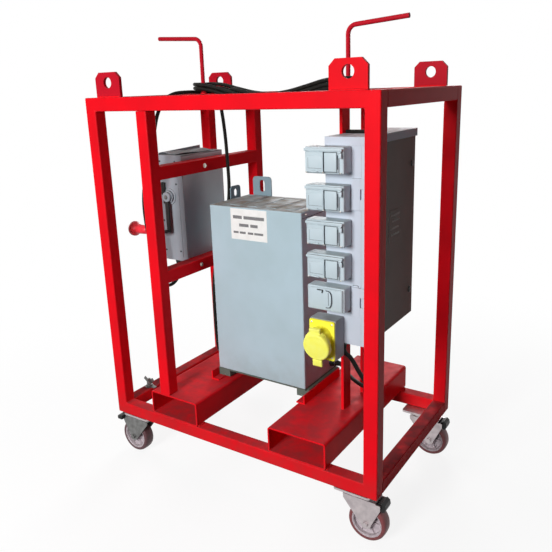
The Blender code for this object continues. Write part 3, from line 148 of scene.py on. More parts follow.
def loop_place(share):
    """A place on one turn: 0 at the left end, then the rear run, the right end, the front run."""
    if share < HALF_END or share > 1 - HALF_END:
        angle = math.pi - (share if share < 0.5 else share - 1) / HALF_END * math.pi / 2
        return LOOP_LEFT_X + LOOP_RADIUS * math.cos(angle), LOOP_RADIUS * math.sin(angle)
    if abs(share - 0.5) < HALF_END:
        angle = math.pi / 2 - (share - 0.5 + HALF_END) / (2 * HALF_END) * math.pi
        return LOOP_RIGHT_X + LOOP_RADIUS * math.cos(angle), LOOP_RADIUS * math.sin(angle)
    side = 1 if share < 0.5 else -1
    along = (share - HALF_END if side > 0 else 1 - HALF_END - share) / RUN
    x = LOOP_LEFT_X + along * (LOOP_RIGHT_X - LOOP_LEFT_X)
    bow = (2 * along - 1) ** 2
    return x, side * (LOOP_WAIST + (LOOP_RADIUS - LOOP_WAIST) * bow ** 2 * (2 - bow))


loop_steps = (0, 0.03, 0.06, 0.1, 0.15, 0.2, 0.25, 0.3, 0.35, 0.4, 0.44, 0.47, 0.5,
    0.53, 0.56, 0.6, 0.65, 0.7, 0.75, 0.8, 0.83, 0.86, 0.89, 0.92, 0.94, 0.97)
hank = []
for turn in range(HANK_TURNS):
    last_turn = turn == HANK_TURNS - 1
    for share in loop_steps:
        if last_turn and share > LAST_SHARE:
            continue
        climb = min(1.0, max(0.0, (share - CLIMB_FROM) / CLIMB_OVER))
        layer = turn + (0 if last_turn else climb ** 2 * (3 - 2 * climb))
        x, y = loop_place(share)
        hank.append((x, y, hank_height(x, layer)))
print("stops in the hank:", len(hank))

# %% Both ends of the cable
GLAND_FOOT = (-0.425, -0.095, 0.8077)
LOOP_BELOW = 0.062
LOOP_Z = 0.788
from_switch = [GLAND_FOOT]
for number in range(6, -1, -1):
    angle = math.pi * number / 6
    from_switch.append((GLAND_FOOT[0] - 0.009 * (1 - number / 6),
        GLAND_FOOT[1] - LOOP_BELOW - LOOP_BELOW * math.cos(angle),
        LOOP_Z - LOOP_BELOW * math.sin(angle)))
from_switch += [(-0.434, -0.23, 0.85), (-0.439, -0.241, 0.92), (-0.446, -0.248, 1.005),
    (-0.446, -0.25, 1.09), (-0.431, -0.25, 1.17), (-0.401, -0.245, 1.27),
    (-0.382, -0.23, 1.35), (-0.38, -0.205, 1.418), (-0.381, -0.163, 1.47),
    (-0.372, -0.112, 1.494), (-0.354, -0.052, 1.4985)]
to_transformer = [(-0.16, -0.009, 1.503), (-0.195, 0.000, 1.4985), (-0.222, 0.006, 1.484),
    (-0.24, 0.013, 1.462), (-0.2485, 0.02, 1.432), (-0.25, 0.03, 1.38),
    (-0.25, 0.038, 1.31), (-0.25, 0.042, 1.23), (-0.25, 0.044, 1.119),
    (-0.252, 0.03, 1.031), (-0.255, -0.012, 0.926), (-0.256, -0.058, 0.827),
    (-0.254, -0.084, 0.743), (-0.252, -0.092, 0.65), (-0.252, -0.092, 0.57),
    (-0.256, -0.084, 0.5), (-0.27, -0.062, 0.445), (-0.291, -0.026, 0.415),
    (-0.306, 0.016, 0.408), (-0.306, 0.054, 0.411), (-0.288, 0.081, 0.416),
    (-0.2593, 0.09, 0.418), (-0.2473, 0.09, 0.418)]
supply_route = smooth_route(from_switch + hank + to_transformer, 0.0075)


# %% Draw a cable as one open curve
def round_wire(name, route, diameter, body="cage"):
    """One open spline with a round bevel, riding on a body.

    The bevel is 1 and each point's radius is the cable's, so that the curve's own
    bounds, which reach out by that radius, are the cable's real size.
    """
    curve = bpy.data.curves.new(name, 'CURVE')
    curve.dimensions = '3D'
    curve.bevel_depth = 1.0
    curve.bevel_resolution = 3
    curve.use_fill_caps = True
    spline = curve.splines.new('POLY')
    spline.points.add(len(route) - 1)
    for point, place in zip(spline.points, route):
        point.co = (*place, 1)
        point.radius = diameter / 2
    wire = bpy.data.objects.new(name, curve)
    scene.collection.objects.link(wire)
    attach(wire, body)
    return wire


supply_cable = round_wire("supply_cable_run", supply_route, CABLE)
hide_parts("supply_cable", "cable_hank", "cable_tail")

# %% The lead from the enclosure to the transformer
LEAD = 0.016
LEAD_TOP_Z = 0.6427
lead_bend_z = LEAD_TOP_Z - 0.062
lead_low_z = 0.398
lead_stops = [(0.395, -0.19, LEAD_TOP_Z), (0.395, -0.19, LEAD_TOP_Z - 0.012),
    (0.399, -0.183, LEAD_TOP_Z - 0.036), (0.411, -0.163, lead_bend_z)]
for x, y, share in ((0.432, -0.128, 0.6), (0.438, -0.082, 0.26), (0.408, -0.03, 0.06),
        (0.352, 0.01, 0.0), (0.296, 0.05, 0.0)):
    lead_stops.append((x, y, lead_low_z + share * (lead_bend_z - lead_low_z)))
lead_stops += [(0.256, 0.082, 0.412), (0.2263, 0.09, 0.418), (0.2143, 0.09, 0.418)]
lead_route = smooth_route(lead_stops, 0.008)
transformer_lead = round_wire("transformer_lead_run", lead_route, LEAD)
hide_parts("transformer_lead")
print("lead to the transformer:", round(route_length(lead_route), 2), "m long")

# %% [markdown]
# ## Soft studio light
# The photograph is lit from the front, so that the front faces are bright and the
# right-hand sides fall into deep shade. One wide lamp does that. A faint lamp above and
# a fainter one on the right keep the shade open. Two more stand behind and to the left,
# where the camera doesn't look, so that the object is also clear from the back. The
# world is dim for the object but white for the camera.

# %% Colours are written as a paint chart gives them
def linear(hex_colour):
    """An sRGB hex colour as the four linear values of a socket."""
    channels = [int(hex_colour[i:i + 2], 16) / 255 for i in (1, 3, 5)]
    turned = [c / 12.92 if c <= 0.04045 else ((c + 0.055) / 1.055) ** 2.4 for c in channels]
    return (*turned, 1.0)


WHITE = (1, 1, 1, 1)
print("cage red in linear light:", [round(c, 3) for c in linear("#F21220")])


# %% A node tree that is written from its inputs to its outputs
class Pattern:
    """The nodes of a material or a world. Each method adds one and gives an output."""

    def __init__(self, owner):
        owner.use_nodes = True
        self.tree = owner.node_tree

    def feed(self, socket, value):
        """Give a socket a value, or link another node's output to it."""
        if isinstance(value, bpy.types.NodeSocket):
            self.tree.links.new(value, socket)
        else:
            socket.default_value = value

    def add(self, kind, inputs=None, **settings):
        """A node of one kind, which gives all its outputs."""
        node = self.tree.nodes.new("ShaderNode" + kind)
        for name, value in settings.items():
            setattr(node, name, value)
        for name, value in (inputs or {}).items():
            self.feed(node.inputs[name], value)
        return node.outputs

    def maths(self, operation, *values, **settings):
        return self.add("Math", dict(enumerate(values)), operation=operation, **settings)[0]

    def ramp(self, value, low=0.0, high=1.0, least=0.0, most=1.0, **settings):
        """Turn the stretch from low to high into one from least to most."""
        return self.add("MapRange", {"Value": value, "From Min": low, "From Max": high,
            "To Min": least, "To Max": most}, **settings)[0]

    def noise(self, place, millimetres, detail, roughness=0.5):
        """Noise whose lumps are about this many millimetres."""
        return self.add("TexNoise", {"Vector": place["Object"], "Scale": 1000 / millimetres,
            "Detail": detail, "Roughness": roughness})[0]

    def part_of(self, vector, axis):
        return self.add("SeparateXYZ", {0: vector})[axis]

    def stain(self, colour, over, share):
        """Lay one colour over another by a share."""
        return self.add("Mix", {0: share, 6: colour, 7: over}, data_type='RGBA')[2]


print("pattern tool ready")

# %% Lamps
MIDDLE = Vector((0, 0, 0.85))
for name, place, size, power in (("key_lamp", (-0.05, -4.6, 2.4), 1.5, 222),
        ("top_lamp", (-0.4, 0.4, 4.2), 2.0, 12),
        ("side_lamp", (4.6, 0.2, 1.7), 2.4, 4),
        ("back_lamp", (-1.6, 4.4, 2.2), 2.0, 150),
        ("left_lamp", (-4.6, 0.9, 1.6), 2.2, 72)):
    lamp_data = bpy.data.lights.new(name, 'AREA')
    lamp_data.size = size
    lamp_data.energy = power
    lamp = bpy.data.objects.new(name, lamp_data)
    lamp.location = place
    lamp.rotation_euler = (MIDDLE - Vector(place)).to_track_quat('-Z', 'Y').to_euler()
    scene.collection.objects.link(lamp)

# %% The world: dim for the object, white for the camera, for gloss and for glass
WORLD_STRENGTH = 0.034
world = bpy.data.worlds.new("studio")
scene.world = world
sky = Pattern(world)
sky.tree.nodes.clear()
path = sky.add("LightPath")
seen = sky.maths('MAXIMUM', path["Is Camera Ray"], path["Is Glossy Ray"])
seen_through = sky.maths('MAXIMUM', seen, path["Is Transmission Ray"])
dim = sky.add("Background", {"Color": linear("#E9EEF2"), "Strength": WORLD_STRENGTH})[0]
white = sky.add("Background", {"Color": WHITE, "Strength": 1.0})[0]
sky.add("OutputWorld", {"Surface": sky.add("MixShader", {0: seen_through, 1: dim, 2: white})[0]})
print("world strength for the object:", WORLD_STRENGTH)

# %% A pale floor that keeps a soft shadow and fades to white
FADE_FROM, FADE_TO = 0.9, 2.6
floor_mesh = bpy.data.meshes.new("floor")
floor_shape = bmesh.new()
bmesh.ops.create_circle(floor_shape, cap_ends=True, radius=30.0, segments=64)
floor_shape.to_mesh(floor_mesh)
floor_shape.free()
floor = bpy.data.objects.new("floor", floor_mesh)
scene.collection.objects.link(floor)

floor_paint = bpy.data.materials.new("pale_studio_floor")
ground = Pattern(floor_paint)
ground.tree.nodes.clear()
reach = ground.add("VectorMath", {0: ground.add("TexCoord")["Object"]}, operation='LENGTH')
far = ground.ramp(reach["Value"], FADE_FROM, FADE_TO, interpolation_type='SMOOTHSTEP')
path = ground.add("LightPath")
seen = ground.maths('MAXIMUM', path["Is Camera Ray"], path["Is Glossy Ray"])
glow = ground.maths('MULTIPLY', ground.ramp(far, least=0.86), seen)
lit = ground.add("BsdfDiffuse", {"Color": linear("#6A6A6A")})[0]
unlit = ground.add("BsdfDiffuse", {"Color": (0, 0, 0, 1)})[0]
body = ground.add("MixShader", {0: far, 1: lit, 2: unlit})[0]
light = ground.add("Emission", {"Color": WHITE, "Strength": glow})[0]
ground.add("OutputMaterial", {"Surface": ground.add("AddShader", {0: body, 1: light})[0]})
floor_mesh.materials.append(floor_paint)
print("floor fades from", FADE_FROM, "to", FADE_TO, "m")

# %% [markdown]
# ## The finishes
# Each finish starts from what the real one is. The cage, the cases and the boxes are all sprayed
# steel, and they differ in colour, in how they wear and in what dirt lies on them. So one recipe
# makes the sprayed paints: a cloudy colour, bare or faded edges, which on the red paints are
# partly a painted highlight, dust that settles on faces that look up, splashed dirt near the
# ground, and the fine orange peel that a spray gun leaves. For the door it also paints shade on
# the faces that look along X.

# %% Start a finish
def new_finish(name, roughness, metallic=0.0, level=0.5):
    """A material, its pattern and its surface's inputs, ready to be fed."""
    material = bpy.data.materials.new(name)
    pattern = Pattern(material)
    surface = pattern.tree.nodes["Principled BSDF"].inputs
    surface["Roughness"].default_value = roughness
    surface["Metallic"].default_value = metallic
    surface["Specular IOR Level"].default_value = level
    return material, pattern, surface


# %% Sprayed paint
SPLASH_FADE = 0.12


def sprayed_paint(name, fresh, faded, edge, dust, dust_most, roughness, level=0.5,
        splash_top=0.3, splash_most=0.0, splash="#6B5A50", edge_most=0.6, peel=0.12,
        unshaded_colour=None):
    """Paint sprayed on steel, with edges in a second colour for wear and, on the red paints,
    partly a painted highlight, settled dust and splashed dirt.

    Given a second colour, only the faces that look along the piece's own X keep the fresh colour,
    as a painted shade, and all other faces take that second colour.
    """
    material, paint, surface = new_finish(name, roughness, level=level)
    place = paint.add("TexCoord")
    normal = paint.add("NewGeometry")["Normal"]
    cloud = paint.ramp(paint.noise(place, 180, 5.0), 0.4, 0.7)
    colour = paint.stain(linear(fresh), linear(faded), cloud)
    if unshaded_colour:
        # Painted shade: only the faces that look along the piece's own X keep the fresh colour.
        painted_shade_side = paint.ramp(paint.part_of(place["Normal"], "X"), 0.5, 0.7)
        colour = paint.stain(linear(unshaded_colour), colour, painted_shade_side)
    # An edge shows where the bevelled normal leaves the face's own.
    soft = paint.add("Bevel", {"Radius": 0.003}, samples=4)[0]
    corner = paint.add("VectorMath", {0: soft, 1: normal}, operation='DOT_PRODUCT')["Value"]
    rubbed = paint.ramp(paint.noise(place, 9, 6.0, 0.65), 0.46, 0.62, most=edge_most)
    edge_wear_and_highlight = paint.maths('MULTIPLY', paint.ramp(corner, 0.998, 0.9), rubbed)
    # The edge colour stands for rubbed paint; on the red paints its paleness is partly a painted
    # highlight.
    colour = paint.stain(colour, linear(edge), edge_wear_and_highlight)
    # Dust settles on what looks up, in drifts.
    settles = paint.ramp(paint.part_of(normal, "Z"), 0.6, 0.98, most=dust_most)
    drift = paint.ramp(paint.noise(place, 45, 6.0), 0.3, 0.62, least=0.35)
    dusty = paint.maths('MULTIPLY', settles, drift)
    colour = paint.stain(colour, linear(dust), dusty)
    # Dirt splashes up from the ground and thins out with height.
    low_down = paint.ramp(paint.part_of(place["Object"], "Z"), splash_top,
        splash_top - SPLASH_FADE, most=splash_most)
    splashed = paint.maths('MULTIPLY', low_down, drift)
    paint.feed(surface["Base Color"], paint.stain(colour, linear(splash), splashed))
    dull = paint.maths('ADD', dusty, splashed)
    paint.feed(surface["Roughness"], paint.maths('MULTIPLY_ADD', dull, 0.4, roughness,
        use_clamp=True))
    relief = paint.add("Bump", {"Height": paint.noise(place, 4, 2.0), "Strength": peel,
        "Distance": 0.001})
    paint.feed(surface["Normal"], relief[0])
    return material


print("sprayed paint ready")

# %% The sprayed finishes
# Bright red gloss on the cage: strong colour, soft shine, pale edges that are partly rubbed paint
# and partly a painted highlight, and a pinkish dust on the flat tops of the tubes.
red_enamel = sprayed_paint("red_gloss_enamel_on_steel", "#F21220", "#E01420", "#C4646A", "#8E3A3E",
    0.6, 0.4, level=0.04, splash_top=0.3, splash_most=0.35, splash="#7A4240", edge_most=0.35)
# The low cross tubes carry more of that dust, trodden in and browner.
dusty_red = sprayed_paint("red_enamel_under_trodden_dust", "#EA1420", "#D41420", "#B0585C",
    "#70383C", 0.85, 0.5, level=0.04, splash_top=0.3, splash_most=0.35, splash="#6A3C3A",
    edge_most=0.45)
# The hooks and most of the lugs are a deeper, older crimson.
crimson = sprayed_paint("crimson_enamel_on_hooks_and_lugs", "#C4182A", "#B01626", "#A65058",
    "#7E343A", 0.5, 0.42, level=0.04, edge_most=0.4)
# Blue-grey enamel on the transformer's case, with brown dust lying on its lid.
case_enamel = sprayed_paint("pale_blue_grey_enamel", "#B6CBD5", "#AFC4CC", "#8C989A", "#857B6C",
    0.9, 0.45, level=0.14, splash_top=0.5, splash_most=0.35, splash="#8D9390", edge_most=0.5)
# The skid under it is the same enamel, gone olive with dirt.
skid_enamel = sprayed_paint("dirty_grey_enamel_on_skid", "#66726A", "#5C665D", "#4A4E49",
    "#6E6C60", 0.7, 0.55, level=0.12, splash_top=0.5, splash_most=0.3, splash="#5B5C54",
    edge_most=0.5)
# The lifting plates are the same enamel, painted darker: a painted shade.
case_lug_enamel_painted_shade = sprayed_paint("blue_grey_enamel_painted_shade", "#8298A2", "#7A909A", "#5E6A70",
    "#77756C", 0.6, 0.5, level=0.14, edge_most=0.6)
# Powder coat on the enclosure's body: light grey and nearly clean.
box_coat = sprayed_paint("light_grey_powder_coat", "#C6CFDB", "#BCC6D1", "#8F979C", "#9B958A", 0.6,
    0.5, level=0.16, peel=0.2, edge_most=0.35)
# The enclosure's door face looks to the right and is painted a dark taupe grey there: a painted
# shade. Its edges match the body.
door_coat_painted_shade = sprayed_paint("grey_powder_coat_painted_shade_face", "#5C4D48", "#524540", "#7A7068", "#7A7068",
    0.5, 0.45, level=0.08, peel=0.2, edge_most=0.4, unshaded_colour="#C6CFDB")
# Mid grey enamel on the switch-fuse, rubbed and dusty.
switch_enamel = sprayed_paint("mid_grey_enamel", "#969EA6", "#8B9299", "#B9BBBE", "#77736C", 0.7,
    0.45, level=0.16, edge_most=0.6)
# The sheet on its right side is painted lighter: painted light on that shaded side.
switch_side_painted_light = sprayed_paint("grey_enamel_sheet_painted_light", "#BFD0D8", "#B2C2CA", "#8C9095", "#77736C",
    0.6, 0.3, level=1.0, edge_most=0.5)
# Cast and sprayed boxes of the sockets: pale grey with dark grime in the joints.
socket_coat = sprayed_paint("pale_grey_sprayed_sockets", "#C4D3DA", "#BCCBD3", "#7E868A",
    "#A6A8A2", 0.45, 0.42, level=0.2, edge_most=0.45)
back_box_coat = sprayed_paint("grey_back_box", "#A2A9B2", "#979EA5", "#6B7075", "#8B8880", 0.5,
    0.5, level=0.16, edge_most=0.4)
print("sprayed paints:", len(bpy.data.materials) - 1)

# %% [markdown]
# ## Plastic, rubber and metal
# Moulded plastic has one even colour, a soft shine and a very fine grain. Rubber is
# matt and gathers dust. Zinc plating is a metal with a slight bloom. A smaller recipe
# makes all of them: two close colours, a grain and a roughness that varies with it.

# %% A finish with one grain
def grained_finish(name, first, second, grain_mm, roughness, metallic=0.0, level=0.5,
        relief_strength=0.1, dust=None):
    """Two close colours in a grain of a real size, with a matching relief."""
    material, mould, surface = new_finish(name, roughness, metallic, level)
    place = mould.add("TexCoord")
    grain = mould.noise(place, grain_mm, 5.0)
    share = mould.ramp(grain, 0.38, 0.66)
    colour = mould.stain(linear(first), linear(second), share)
    if dust:
        normal = mould.add("NewGeometry")["Normal"]
        settles = mould.ramp(mould.part_of(normal, "Z"), 0.3, 1.0, most=0.45)
        colour = mould.stain(colour, linear(dust), mould.maths('MULTIPLY', settles, share))
    mould.feed(surface["Base Color"], colour)
    mould.feed(surface["Roughness"], mould.ramp(grain, least=max(0.05, roughness - 0.08),
        most=min(1.0, roughness + 0.12)))
    relief = mould.add("Bump", {"Height": mould.noise(place, 1.5, 2.0),
        "Strength": relief_strength, "Distance": 0.0005})
    mould.feed(surface["Normal"], relief[0])
    return material


print("grained finish ready")

# %% The metals, rubbers, plastics and prints
# Zinc-plated pressings of the castors: bright, a little cloudy, with a faint pink in their colour
# that is a painted reflection of the red cage.
zinc_plate_painted_reflection = grained_finish("zinc_steel_painted_red_reflection", "#BFB6B7", "#A9A1A3", 30, 0.4, 1.0)
# Darker zinc: painted shade on the left castors' forks, and grime on the earth stud and the
# spindle nut.
zinc_grime_and_painted_shade = grained_finish("dark_zinc_grime_and_painted_shade", "#7F7F7E", "#6A6A68", 22, 0.48, 1.0)
# Bolts, studs and pins: brighter zinc with dark grime in the grain.
bright_zinc = grained_finish("bright_zinc_bolts", "#D6D4CE", "#A9A49A", 5, 0.3, 1.0)
# Cast polyamide hub: pale warm grey, dull.
hub_nylon = grained_finish("grey_nylon_hub", "#C2B5BB", "#AEA3A8", 12, 0.45, level=0.3,
    dust="#8D8078")
# Polyurethane tread: maroon, smooth and dusty.
tread = grained_finish("maroon_polyurethane_tread", "#7E3A3C", "#6B3033", 18, 0.42, dust="#93807A")
# The left castors' treads are darker: a painted shade.
tread_painted_shade = grained_finish("maroon_tread_painted_shade", "#5B3439", "#472A2F", 18, 0.48,
    dust="#6B5C58")
# Black rubber of the cables and strain reliefs: matt with grey dust on top.
cable_rubber = grained_finish("black_cable_rubber", "#12110F", "#1C1B18", 20, 0.6, level=0.12,
    dust="#36332D")
# Moulded black plastic of pedals and fuse carriers.
black_mould = grained_finish("black_moulded_plastic", "#161616", "#1F1E1D", 16, 0.4, level=0.25,
    dust="#3E3B37")
# Yellow moulded plastic of the round socket: strong, slightly soft colour.
yellow_mould = grained_finish("yellow_moulded_plastic", "#FFFA4E", "#FFF53A", 26, 0.38, level=0.25,
    relief_strength=0.05)
# The cap is the same yellow plastic, painted paler: a painted highlight.
yellow_cap_painted_highlight = grained_finish("yellow_cap_plastic_painted_highlight", "#FFFD78", "#FFFB62", 26, 0.36, level=0.25,
    relief_strength=0.05)
# Red dipped plastic of the switch's grip.
grip_plastic = grained_finish("red_dipped_grip", "#F43442", "#E32B39", 12, 0.4, level=0.35)
# Printed paper label under clear film, and the dark grey bars that stand for its words.
label_paper = grained_finish("white_film_label", "#F4F4F2", "#ECECE9", 30, 0.45, level=0.3,
    relief_strength=0.02)
label_ink = grained_finish("dark_grey_print", "#767677", "#828283", 8, 0.5, level=0.3,
    relief_strength=0.02)
# Worn print on the door's plate: pale grey on the brown.
plate_print = grained_finish("pale_grey_worn_print", "#A39C98", "#7D746F", 7, 0.55, level=0.2,
    relief_strength=0.02)
# Off-white moulded breakers and their dark toggles.
breaker_mould = grained_finish("off_white_breaker_plastic", "#D9D8D2", "#CECDC6", 15, 0.42)
# Dark lines where two pressings meet: painted shade in a narrow gap. The same dark grey colours
# the spur's catch and the latch levers.
dark_grey_and_gap_shade = grained_finish("dark_grey_painted_gap_shade", "#33363A", "#26282B", 6, 0.75, level=0.1)
# A lighter grey: painted shade in the thin gaps and slots of the sockets and latches. It also
# colours the wire pull, the lines on the flaps and the latch screws.
grime_and_gap_shade = grained_finish("grey_grime_and_painted_gap_shade", "#5A6269", "#4E555B", 6, 0.7, level=0.1)
print("finishes ready:", len(bpy.data.materials))

# %% Give each solid its finish
# The first line whose words begin a solid's name decides; the rest is the red cage.
starts_of_names = (
    (zinc_grime_and_painted_shade, ("castor_fork_front_left", "castor_fork_rear_left")),
    (crimson, ("left_cable_hook", "right_cable_hook", "lifting_lug_rear",
    "lifting_lug_front_left")),
    (dusty_red, ("right_bottom_rail", "left_bottom_rail")),
    (black_mould, ("brake_pedal", "fuse_carriers")), (breaker_mould, ("breaker",)),
    (cable_rubber, ("cable", "supply_cable", "transformer_lead")),
    (zinc_plate_painted_reflection, ("castor_fork", "castor_plate")), (tread, ("castor_wheel",)),
    (box_coat, ("enclosure_body",)), (door_coat_painted_shade, ("enclosure_door",)),
    (socket_coat, ("socket_", "spur_box")), (switch_enamel, ("switch_body", "switch_door")),
    (bright_zinc, ("switch_handle",)), (skid_enamel, ("transformer_base",)),
    (case_lug_enamel_painted_shade, ("transformer_side", "transformer_rear")), (case_enamel, ("transformer",)),
    (back_box_coat, ("yellow_back_box",)), (yellow_mould, ("yellow_socket",)),
    (yellow_cap_painted_highlight, ("yellow_cap",)))
for node_name, solid in nodes.items():
    finish = next((finish for finish, starts in starts_of_names if node_name.startswith(starts)),
        red_enamel)
    if not solid.data.materials:
        solid.data.materials.append(finish)
    for slot in solid.material_slots:
        slot.material = finish
print("solids in red:",
    sum(1 for solid in nodes.values() if solid.material_slots[0].material == red_enamel))


def dress_wire(wire, finish):
    wire.data.materials.append(finish)


for wire in (supply_cable, transformer_lead):
    dress_wire(wire, cable_rubber)

# %% [markdown]
# ## Tools for the small pieces
# Nearly every small piece here is a block with rounded edges, a thing turned on a
# lathe, or a few of them together. So a few tools are enough: one adds a block to a
# mesh, one lays a plate on a face that looks to the front, one spins an outline, and
# one closes the mesh as a finished piece that sits at the origin and rides on a body.

# %% Blocks and plates
def add_block(shape, low, high, rounding=0.0, segments=2, tilt=None):
    """A block between two corners. A tilt turns it about its own middle."""
    verts = bmesh.ops.create_cube(shape, size=1.0)["verts"]
    bmesh.ops.scale(shape, vec=[b - a for a, b in zip(low, high)], verts=verts)
    if tilt:
        bmesh.ops.rotate(shape, cent=(0, 0, 0), matrix=tilt, verts=verts)
    bmesh.ops.translate(shape, vec=[(a + b) / 2 for a, b in zip(low, high)], verts=verts)
    if rounding:
        edges = list({edge for vert in verts for edge in vert.link_edges})
        bmesh.ops.bevel(shape, geom=edges, offset=rounding, segments=segments, affect='EDGES',
            profile=0.5, material=-1, clamp_overlap=True)


def add_plate(shape, x_span, z_span, face, proud, sunk=0.001, rounding=0.0, segments=2):
    """A plate that stands proud of a face at the front, and is sunk in it a little."""
    add_block(shape, (x_span[0], face - proud, z_span[0]), (x_span[1], face + sunk, z_span[1]),
        rounding, segments)


def tilted(degrees, axis):
    return Matrix.Rotation(math.radians(degrees), 3, axis)


print("tools for blocks ready")


# %% Turned shapes and finished pieces
def add_turned(shape, outline, place, along, steps=24, closed=False):
    """Spin an outline of (distance along the axis, radius) round an axis."""
    older = set(shape.verts)
    verts = [shape.verts.new((radius, 0, distance)) for distance, radius in outline]
    pairs = list(zip(verts, verts[1:])) + ([(verts[-1], verts[0])] if closed else [])
    edges = [shape.edges.new(pair) for pair in pairs]
    bmesh.ops.spin(shape, geom=verts + edges, cent=(0, 0, 0), axis=(0, 0, 1), angle=math.tau,
        steps=steps, use_merge=True)
    fresh = [vert for vert in shape.verts if vert not in older]
    bmesh.ops.remove_doubles(shape, verts=fresh, dist=1e-6)
    fresh = [vert for vert in shape.verts if vert not in older]
    upright = Vector(along).to_track_quat('Z', 'Y').to_matrix()
    bmesh.ops.rotate(shape, cent=(0, 0, 0), matrix=upright, verts=fresh)
    bmesh.ops.translate(shape, vec=place, verts=fresh)


def finished_piece(name, shape, finish, body="cage", crease=35):
    """Close the mesh, shade it by its creases, and put it on its body."""
    bmesh.ops.recalc_face_normals(shape, faces=shape.faces)
    for face in shape.faces:
        face.smooth = True
    for edge in shape.edges:
        edge.smooth = edge.calc_face_angle(0.0) < math.radians(crease)
    mesh = bpy.data.meshes.new(name)
    shape.to_mesh(mesh)
    shape.free()
    mesh.materials.append(finish)
    piece = bpy.data.objects.new(name, mesh)
    scene.collection.objects.link(piece)
    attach(piece, body)
    return piece


def block_piece(name, finish, blocks, body="cage"):
    """A finished piece of blocks only, each given as add_block takes it."""
    shape = bmesh.new()
    for block in blocks:
        add_block(shape, *block)
    return finished_piece(name, shape, finish, body)


print("tools for turned and finished pieces ready")


# %% A hexagon bolt head on a washer, and a domed screw
def add_bolt(shape, place, along, across=0.012, head=0.006, shank=0.0):
    """A washer, a chamfered hexagon and, if asked, the end of a thread."""
    half = across / math.sqrt(3)
    washer = across * 0.74
    add_turned(shape, [(0, 0), (0, washer), (0.0016, washer), (0.0016, 0)], place, along, steps=20)
    add_turned(shape, [(0.0014, 0), (0.0014, half), (head * 0.8, half), (head, half * 0.82),
        (head, 0)], place, along, steps=6)
    if shank:
        add_turned(shape, [(head - 0.001, 0), (head - 0.001, across * 0.28),
            (head + shank - 0.001, across * 0.28), (head + shank, across * 0.2),
            (head + shank, 0)], place, along, steps=12)


def add_screw(shape, place, along, radius):
    """A small domed screw head with a dimple for the driver."""
    outline = ((0, 0), (0, 1), (0.3, 0.92), (0.5, 0.55), (0.28, 0.4), (0.24, 0))
    add_turned(shape, [(radius * out, radius * wide) for out, wide in outline], place, along,
        steps=14)


FRONT, RIGHT, LEFT, TOP = (0, -1, 0), (1, 0, 0), (-1, 0, 0), (0, 0, 1)
CORNERS = ("front_left", "front_right", "rear_left", "rear_right")
print("bolts and screws ready")

# %% [markdown]
# ## Castor wheels
# Each real wheel is two things: a dull nylon centre and a maroon tread cast round it.
# Both are turned on one axle, so an outline spun about that axle makes each of them.
# The tread has a soft crown and rounded shoulders; the centre has a dished web, a
# raised rim and a boss. They stand in for the plain solid wheel.

# %% Spin the treads and the hubs
HALF_TREAD = 0.0225
TREAD_BOTTOM = 0.0555
RIBS = 6
RIB_REACH = 0.034
AXLE = (0, 1, 0)
half_rib = Vector((0.0135, 0.0125, 0.0018))
# Each outline is (distance from the wheel's middle, radius); its other half mirrors it.
tread_side = [(0.006, 0.0699), (HALF_TREAD - 0.007, 0.069), (HALF_TREAD - 0.002, 0.0668),
    (HALF_TREAD, 0.064), (HALF_TREAD, TREAD_BOTTOM)]
hub_side = [(0.0247, 0.0065), (0.0247, 0.0165), (0.0225, 0.0185), (0.013, 0.0205),
    (0.0065, 0.026), (0.006, 0.042), (0.009, 0.0475), (0.0195, 0.0495),
    (0.0215, 0.052), (0.0215, TREAD_BOTTOM + 0.0005)]


def mirrored(side):
    return [(-distance, radius) for distance, radius in reversed(side)]


for corner in CORNERS:
    low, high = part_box(f"castor_wheel_{corner}")
    centre = [(a + b) / 2 for a, b in zip(low, high)]
    tyre = bmesh.new()
    add_turned(tyre, mirrored(tread_side) + tread_side, centre, AXLE, steps=64, closed=True)
    tyre_piece = finished_piece(f"tread_{corner}", tyre,
        tread_painted_shade if corner.endswith("left") else tread, f"wheel_{corner}", crease=50)
    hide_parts(f"castor_wheel_{corner}")
    hub = bmesh.new()
    add_turned(hub, hub_side + mirrored(hub_side), centre, AXLE, steps=64, closed=True)
    for number in range(RIBS):
        angle = math.tau * number / RIBS
        middle = Vector(centre) + Vector((math.cos(angle), 0, math.sin(angle))) * RIB_REACH
        add_block(hub, middle - half_rib, middle + half_rib, 0.0008, 1,
            Matrix.Rotation(-angle, 3, 'Y'))
    finished_piece(f"hub_{corner}", hub, hub_nylon, f"wheel_{corner}")
print("wheels dressed: 4")

# %% The tongues of the left castors' pedals stick out to the front
for end in ("front", "rear"):
    low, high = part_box(f"brake_pedal_{end}_left")
    block_piece(f"pedal_tongue_{end}_left", black_mould,
        [((-0.6195, low[1] - 0.0275, 0.145), (-0.5925, high[1] - 0.01, 0.163),
        0.005, 3)], f"pedal_{end}_left")
print("pedal tongues: 2")

# %% [markdown]
# ## Welds
# The cage is welded, and the lugs and the fork pockets show a low rippled bead under
# the paint. One bead is an outline with waves in it, spun and half sunk in the corner
# of the joint. All the beads are one piece, because they share the cage's paint. Each
# hook bar stands in a ring of weld.

# %% Run the beads
RIPPLE = 0.006
LEFT_POCKET_SIDE = -0.157


def add_weld(shape, start, end, size=0.0035):
    """A rippled bead from one point to another."""
    line = Vector(end) - Vector(start)
    waves = 2 * max(4, round(line.length / RIPPLE))
    outline = [(0, 0)]
    for step in range(waves + 1):
        wave = 0.86 if step % 2 else 1.0
        taper = 0.6 if step in (0, waves) else 1.0
        outline.append((0.001 + (line.length - 0.002) * step / waves, size * wave * taper))
    outline.append((line.length, 0))
    add_turned(shape, outline, start, line, steps=8)


